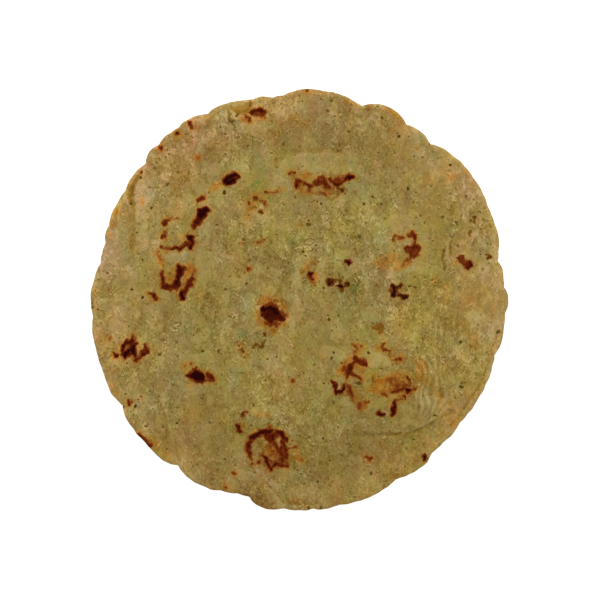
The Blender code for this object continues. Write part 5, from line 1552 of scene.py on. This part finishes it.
def new_material(name):
    """A material, the short ways to add nodes to its tree, and its shader."""
    material = bpy.data.materials.new(name)
    material.use_nodes = True
    return material, Nodes(material.node_tree), material.node_tree.nodes["Principled BSDF"]


def masa_material():
    """Baked masa for the whole round: mottled skin, toast, torn ochre, pale flour with painted highlights,
    and scorches.
    """
    material, nodes, shader = new_material("baked_masa")
    place = nodes.tinted(nodes.add("ShaderNodeTexCoord").outputs["Object"], GRAIN_STRETCH)
    glow, dark = scorch_fields(nodes, place)
    colour = toasted(nodes, place, masa_colour(nodes, place), glow)
    crumbs = nodes.noise(place, CRUMBLY)
    ochre = nodes.attribute("ochre")
    torn = nodes.times_plus(nodes.maths("SUBTRACT", 0.5, crumbs), 0.5, nodes.times(ochre, OCHRE_DARKER))
    colour = nodes.mix(nodes.step(ochre, *OCHRE_COVERS), colour, nodes.ramp(torn, OCHRE_COLOURS))
    # flour, and painted highlights: glints on the scorches and pale lines on lips
    flour_and_highlights = nodes.times(nodes.attribute("pale"), nodes.step(crumbs, *FLOUR_COVERS))
    colour = nodes.mix(flour_and_highlights, colour, nodes.ramp(crumbs, FLOUR_AND_HIGHLIGHT_COLOURS))
    scorched = nodes.ramp(dark, SCORCH_COLOURS)
    scorched = nodes.tinted(scorched, nodes.mix(nodes.attribute("soot"), PLAIN, SOOTED))
    colour = nodes.mix(nodes.step(dark, *CHAR_COVERS), colour, scorched)
    rough = nodes.times_plus(crumbs, *MASA_ROUGHNESS)
    rough = nodes.times_plus(dark, CHAR_SMOOTHER, rough)
    normal = nodes.feed_named(
        nodes.add("ShaderNodeBump"), Strength=1.0, Distance=MASA_BUMP, Height=nodes.noise(place, GRAIN))
    nodes.feed_named(shader, Base_Color=colour, Roughness=rough, Specular_IOR_Level=SHINE, Normal=normal)
    return material


def fleck_material():
    """Flecks in the skin, from pale corn through olive nopal to black-green, by their tone."""
    material, nodes, shader = new_material("nopal_and_corn_flecks")
    place = nodes.add("ShaderNodeTexCoord").outputs["Object"]
    uneven = nodes.uneven(place, FLECK_TONE)
    tone = nodes.times_plus(uneven, 0.5, nodes.attribute("tone"))
    greener = nodes.patches(place, *GREEN_FLECKS)
    greener = nodes.times(greener, nodes.step(tone, *GREEN_TONES))
    colour = nodes.ramp(tone, FLECK_COLOURS)
    colour = nodes.tinted(colour, nodes.mix(greener, PLAIN, NOPAL_TINT))
    rough = nodes.times_plus(uneven, *FLECK_ROUGHNESS)
    height = nodes.noise(place, FLECK_GRAIN)
    normal = nodes.feed_named(
        nodes.add("ShaderNodeBump"), Strength=0.5, Distance=FLECK_BUMP, Height=height)
    nodes.feed_named(shader, Base_Color=colour, Roughness=rough, Specular_IOR_Level=SHINE, Normal=normal)
    return material


def new_tree(name, **inputs):
    """An empty geometry tree with those inputs, each a kind of socket, and one geometry output."""
    tree = bpy.data.node_groups.new(name, "GeometryNodeTree")
    for label, kind in inputs.items():
        tree.interface.new_socket(label.replace("_", " "), in_out="INPUT", socket_type="NodeSocket" + kind)
    tree.interface.new_socket("Geometry", in_out="OUTPUT", socket_type="NodeSocketGeometry")
    nodes = Nodes(tree)
    return nodes, nodes.add("NodeGroupInput").outputs


def finish_tree(nodes, shape, material):
    """Ends a tree: its instances made real and given their material."""
    real = nodes.feed_named(nodes.add("GeometryNodeRealizeInstances"), Geometry=shape)
    dressed = nodes.feed_named(nodes.add("GeometryNodeSetMaterial"), Geometry=real, Material=material)
    nodes.feed(nodes.add("NodeGroupOutput").inputs[0], dressed)
    return nodes.tree


def relief_tree():
    """Lumps and grains of the coarse masa, raised along the skin where it isn't held at the rim."""
    nodes, given = new_tree(
        "masa_relief", Geometry="Geometry", Lump_height="Float", Lump_width="Float",
        Grain_height="Float", Grain_width="Float", Seed="Float", Material="Material")
    place = nodes.add("GeometryNodeInputPosition").outputs[0]
    raised = 0.0
    for label in ("Lump", "Grain"):
        cloud = nodes.add("ShaderNodeTexNoise", noise_dimensions="4D")
        scale = nodes.maths("DIVIDE", 1.0, given[label + " width"])
        cloud = nodes.feed_named(
            cloud, Vector=place, W=given["Seed"], Scale=scale, Detail=2.0, Roughness=0.6)
        rise = nodes.times(nodes.maths("SUBTRACT", cloud, 0.5), given[label + " height"])
        raised = nodes.plus(rise, raised)
    raised = nodes.times(raised, nodes.stored("relief_share"))
    offset = nodes.scaled(nodes.add("GeometryNodeInputNormal").outputs[0], raised)
    shape = nodes.feed_named(nodes.add("GeometryNodeSetPosition"), Geometry=given["Geometry"], Offset=offset)
    return finish_tree(nodes, shape, given["Material"])


# How crumbs are stretched at random along, across and upwards, and how surely skin is bare below them
LEAST_STRETCH = (0.8, 0.7, 0.3)
MOST_STRETCH = (1.35, 1.1, 0.5)
BARE_SHARE = 0.9
TONE_SEED_AWAY = 7.0


def crumb_tree():
    """A crumb on each point, as large as the point says, turned at random and lying on the skin."""
    nodes, given = new_tree(
        "crumbs_on_points", Points="Geometry", Crumb="Object", Seed="Int", Material="Material")
    crumb = nodes.add("GeometryNodeObjectInfo")
    nodes.feed(crumb.inputs["Object"], given["Crumb"])
    spin = nodes.drawn((0.0, 0.0, 0.0), (0.0, 0.0, 2.0 * math.pi), given["Seed"], "FLOAT_VECTOR")
    stretch = nodes.drawn(LEAST_STRETCH, MOST_STRETCH, given["Seed"], "FLOAT_VECTOR")
    leaning = nodes.feed_named(
        nodes.add("FunctionNodeAlignRotationToVector", axis="Z"),
        Vector=nodes.stored("facing", "FLOAT_VECTOR"))
    turned = nodes.feed_named(
        nodes.add("FunctionNodeRotateRotation", rotation_space="LOCAL"), Rotation=leaning,
        Rotate_By=nodes.feed_named(nodes.add("FunctionNodeEulerToRotation"), Euler=spin))
    shape = nodes.feed_named(
        nodes.add("GeometryNodeInstanceOnPoints"), Points=given["Points"],
        Instance=crumb.outputs["Geometry"], Rotation=turned,
        Scale=nodes.scaled(stretch, nodes.stored("half_width")))
    return finish_tree(nodes, shape, given["Material"])


def scatter_tree(crumbs):
    """Crumbs strewn over the skin, their sizes and tones drawn at random between two values."""
    nodes, given = new_tree(
        "strewn_crumbs", Skin="Geometry", Crumb="Object", Density="Float", Smallest="Float",
        Largest="Float", Lightest="Float", Darkest="Float", Seed="Int", Material="Material")
    inside = nodes.maths("GREATER_THAN", nodes.stored("bare"), BARE_SHARE)
    strewn = nodes.add("GeometryNodeDistributePointsOnFaces", distribute_method="RANDOM")
    points = nodes.feed_named(
        strewn, Mesh=given["Skin"], Selection=inside, Density=given["Density"], Seed=given["Seed"])
    sizes = nodes.drawn(given["Smallest"], given["Largest"], given["Seed"])
    tones = nodes.drawn(
        given["Lightest"], given["Darkest"], nodes.plus(given["Seed"], TONE_SEED_AWAY))
    for label, kind, value in (("half_width", "FLOAT", sizes), ("tone", "FLOAT", tones),
                               ("facing", "FLOAT_VECTOR", strewn.outputs["Normal"])):
        store = nodes.add("GeometryNodeStoreNamedAttribute", data_type=kind, domain="POINT")
        points = nodes.feed_named(store, Geometry=points, Name=label, Value=value)
    group = nodes.add("GeometryNodeGroup", node_tree=crumbs)
    shape = nodes.feed_named(
        group, Points=points, Crumb=given["Crumb"], Seed=given["Seed"], Material=given["Material"])
    nodes.feed(nodes.add("NodeGroupOutput").inputs[0], shape)
    return nodes.tree


def grown(name, start, tree, **inputs):
    """A plain mesh object: the starting one with the tree run over it."""
    grower = add_object(name, start.data.copy())
    modifier = grower.modifiers.new(tree.name, "NODES")
    modifier.node_group = tree
    for item in tree.interface.items_tree:
        wanted = item.name.replace(" ", "_")
        if item.in_out == "INPUT" and wanted in inputs:
            modifier[item.identifier] = inputs[wanted]
    bpy.context.view_layer.update()
    depsgraph = bpy.context.evaluated_depsgraph_get()
    mesh = bpy.data.meshes.new_from_object(
        grower.evaluated_get(depsgraph), preserve_all_data_layers=True, depsgraph=depsgraph)
    bpy.data.objects.remove(grower)
    mesh.name = name
    return add_object(name, mesh)


# The crumb: its foot, how far its shoulder is drawn in, the heights of both, and its top
CRUMB_FOOT = (
    (1.0, 0.0), (0.62, 0.74), (-0.1, 0.98), (-0.84, 0.66), (-1.04, -0.12), (-0.5, -0.86), (0.52, -0.8),
)
CRUMB_SHOULDER = 0.66
CRUMB_LEVELS = (-0.25, 0.35)
CRUMB_TOP = (0.06, -0.04, 0.5)


def crumb_object():
    """A small low crumb one unit in half width: an irregular seven-sided dome with a flat foot."""
    foot_level, shoulder_level = CRUMB_LEVELS
    points = [(x, y, foot_level) for x, y in CRUMB_FOOT]
    points += [(x * CRUMB_SHOULDER, y * CRUMB_SHOULDER, shoulder_level) for x, y in CRUMB_FOOT]
    points.append(CRUMB_TOP)
    count = len(CRUMB_FOOT)
    faces = [tuple(reversed(range(count)))]
    for step in range(count):
        after = (step + 1) % count
        faces.append((step, after, count + after, count + step))
        faces.append((count + step, count + after, 2 * count))
    return add_object("crumb", mesh_from("crumb", points, faces))


def points_on_skin(skin, bits):
    """A mesh of loose points on the skin, one for each bit, with its size, tone and the skin's lean."""
    tree = BVHTree.FromPolygons(
        [tuple(vertex.co) for vertex in skin.data.vertices],
        [tuple(polygon.vertices) for polygon in skin.data.polygons])
    middle = outline_middle()
    places, leans = [], []
    for across, down, _, _ in bits:
        x, y = (from_pixel(across, down) - middle) * METRES
        hit, lean, _, _ = tree.ray_cast(Vector((x, y, ABOVE_ALL)), Vector((0.0, 0.0, -1.0)))
        places.append(tuple(hit))
        leans.append(tuple(lean))
    mesh = mesh_from("bit_places", places, [])
    keep(mesh, "half_width", [BIT_SIZE * row[2] / PIXELS_PER_MM * METRES for row in bits])
    keep(mesh, "tone", [row[3] for row in bits])
    keep(mesh, "facing", leans, "FLOAT_VECTOR")
    return bpy.data.objects.new("bit_places", mesh)


# The masa's relief and its strewn crumbs, in metres, and the number of crumbs to the square metre
RELIEF = dict(
    Lump_height=0.0008, Lump_width=0.0042, Grain_height=0.0004, Grain_width=0.0017, Seed=2.4)
DARK_CRUMBS = dict(
    Density=31000.0, Smallest=0.00016, Largest=0.0005, Lightest=0.38, Darkest=0.68, Seed=11)
PALE_GRAINS = dict(
    Density=45000.0, Smallest=0.00025, Largest=0.0007, Lightest=0.2, Darkest=0.4, Seed=29)
BIT_SEED = 3


def tostada_pieces():
    masa = masa_material()
    flecks = fleck_material()
    start = crust_object()
    crust = grown("tostada_crust_whole", start, relief_tree(), Material=masa, **RELIEF)
    bpy.data.objects.remove(start)
    crumb = crumb_object()
    crumbs = crumb_tree()
    strewn = scatter_tree(crumbs)
    places = points_on_skin(crust, NOPAL_BITS)
    bits = grown("nopal_bits", places, crumbs, Crumb=crumb, Seed=BIT_SEED, Material=flecks)
    dark = grown("dark_crumbs", crust, strewn, Crumb=crumb, Material=flecks, **DARK_CRUMBS)
    pale = grown("corn_grains", crust, strewn, Crumb=crumb, Material=flecks, **PALE_GRAINS)
    bpy.data.objects.remove(crumb)
    bpy.data.objects.remove(places)
    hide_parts("tostada")
    for piece in (crust, bits, dark, pale):
        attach(piece, "root")


# The studio: the height the camera looks from, how bright the light is and where it comes from, and
# the floor, which lies a little below the round, as two faces at one height would flicker
CAMERA_HEIGHT = 1.5
SKIN_LEVEL = 0.0025
SENSOR = 36.0
FARTHEST_SEEN = 20.0
SURROUND_LIGHT = 0.6
KEY_SHARE = 0.4
KEY_DISTANCE = 1.6
KEY_SIZE = 0.7
KEY_DIRECTION = 85.0
KEY_ELEVATION = 48.0
WHITE = (1.0, 1.0, 1.0, 1.0)
FLOOR_HALF = 3.0
FLOOR_HEIGHT = -0.0002
FLOOR_GLOW = 0.8
FLOOR_ROUGHNESS = 0.9
FLOOR_COLOUR = (0.55, 0.55, 0.55, 1.0)


def add_floor():
    signs = ((-1, -1), (1, -1), (1, 1), (-1, 1))
    corners = [(x * FLOOR_HALF, y * FLOOR_HALF, FLOOR_HEIGHT) for x, y in signs]
    mesh = mesh_from("floor", corners, [(0, 1, 2, 3)])
    material, nodes, shader = new_material("white_floor")
    nodes.feed_named(
        shader, Base_Color=FLOOR_COLOUR, Roughness=FLOOR_ROUGHNESS, Specular_IOR_Level=0.0,
        Emission_Color=WHITE, Emission_Strength=FLOOR_GLOW)
    mesh.materials.append(material)
    add_object("floor", mesh)


def add_light():
    world = bpy.data.worlds.new("studio")
    world.use_nodes = True
    nodes = Nodes(world.node_tree)
    nodes.feed_named(world.node_tree.nodes["Background"], Color=WHITE, Strength=SURROUND_LIGHT)
    bpy.context.scene.world = world
    elevation = math.radians(KEY_ELEVATION)
    direction = math.radians(KEY_DIRECTION)
    towards = Vector((math.cos(direction) * math.cos(elevation), math.sin(direction) * math.cos(elevation),
                      math.sin(elevation)))
    key = bpy.data.lights.new("key", "AREA")
    key.size = KEY_SIZE
    key.energy = KEY_SHARE * math.pi ** 2 * KEY_DISTANCE ** 2 / math.sin(elevation)
    lamp = add_object("key", key)
    lamp.location = towards * KEY_DISTANCE
    lamp.rotation_euler = towards.to_track_quat("Z", "Y").to_euler()


def add_camera():
    """Looks straight down, with the photograph's scale on the skin."""
    camera = bpy.data.cameras.new("camera")
    camera.sensor_width = SENSOR
    camera.lens = SENSOR * CAMERA_HEIGHT / (PHOTO_PIXELS / PIXELS_PER_MM * METRES)
    camera.clip_end = FARTHEST_SEEN
    seen = add_object("camera", camera)
    x, y = (from_pixel(*PHOTO_MIDDLE) - outline_middle()) * METRES
    seen.location = (x, y, CAMERA_HEIGHT + SKIN_LEVEL)
    bpy.context.scene.camera = seen
    bpy.context.scene.view_settings.view_transform = "Standard"



def main():
    tostada_pieces()
    add_floor()
    add_light()
    add_camera()


main()
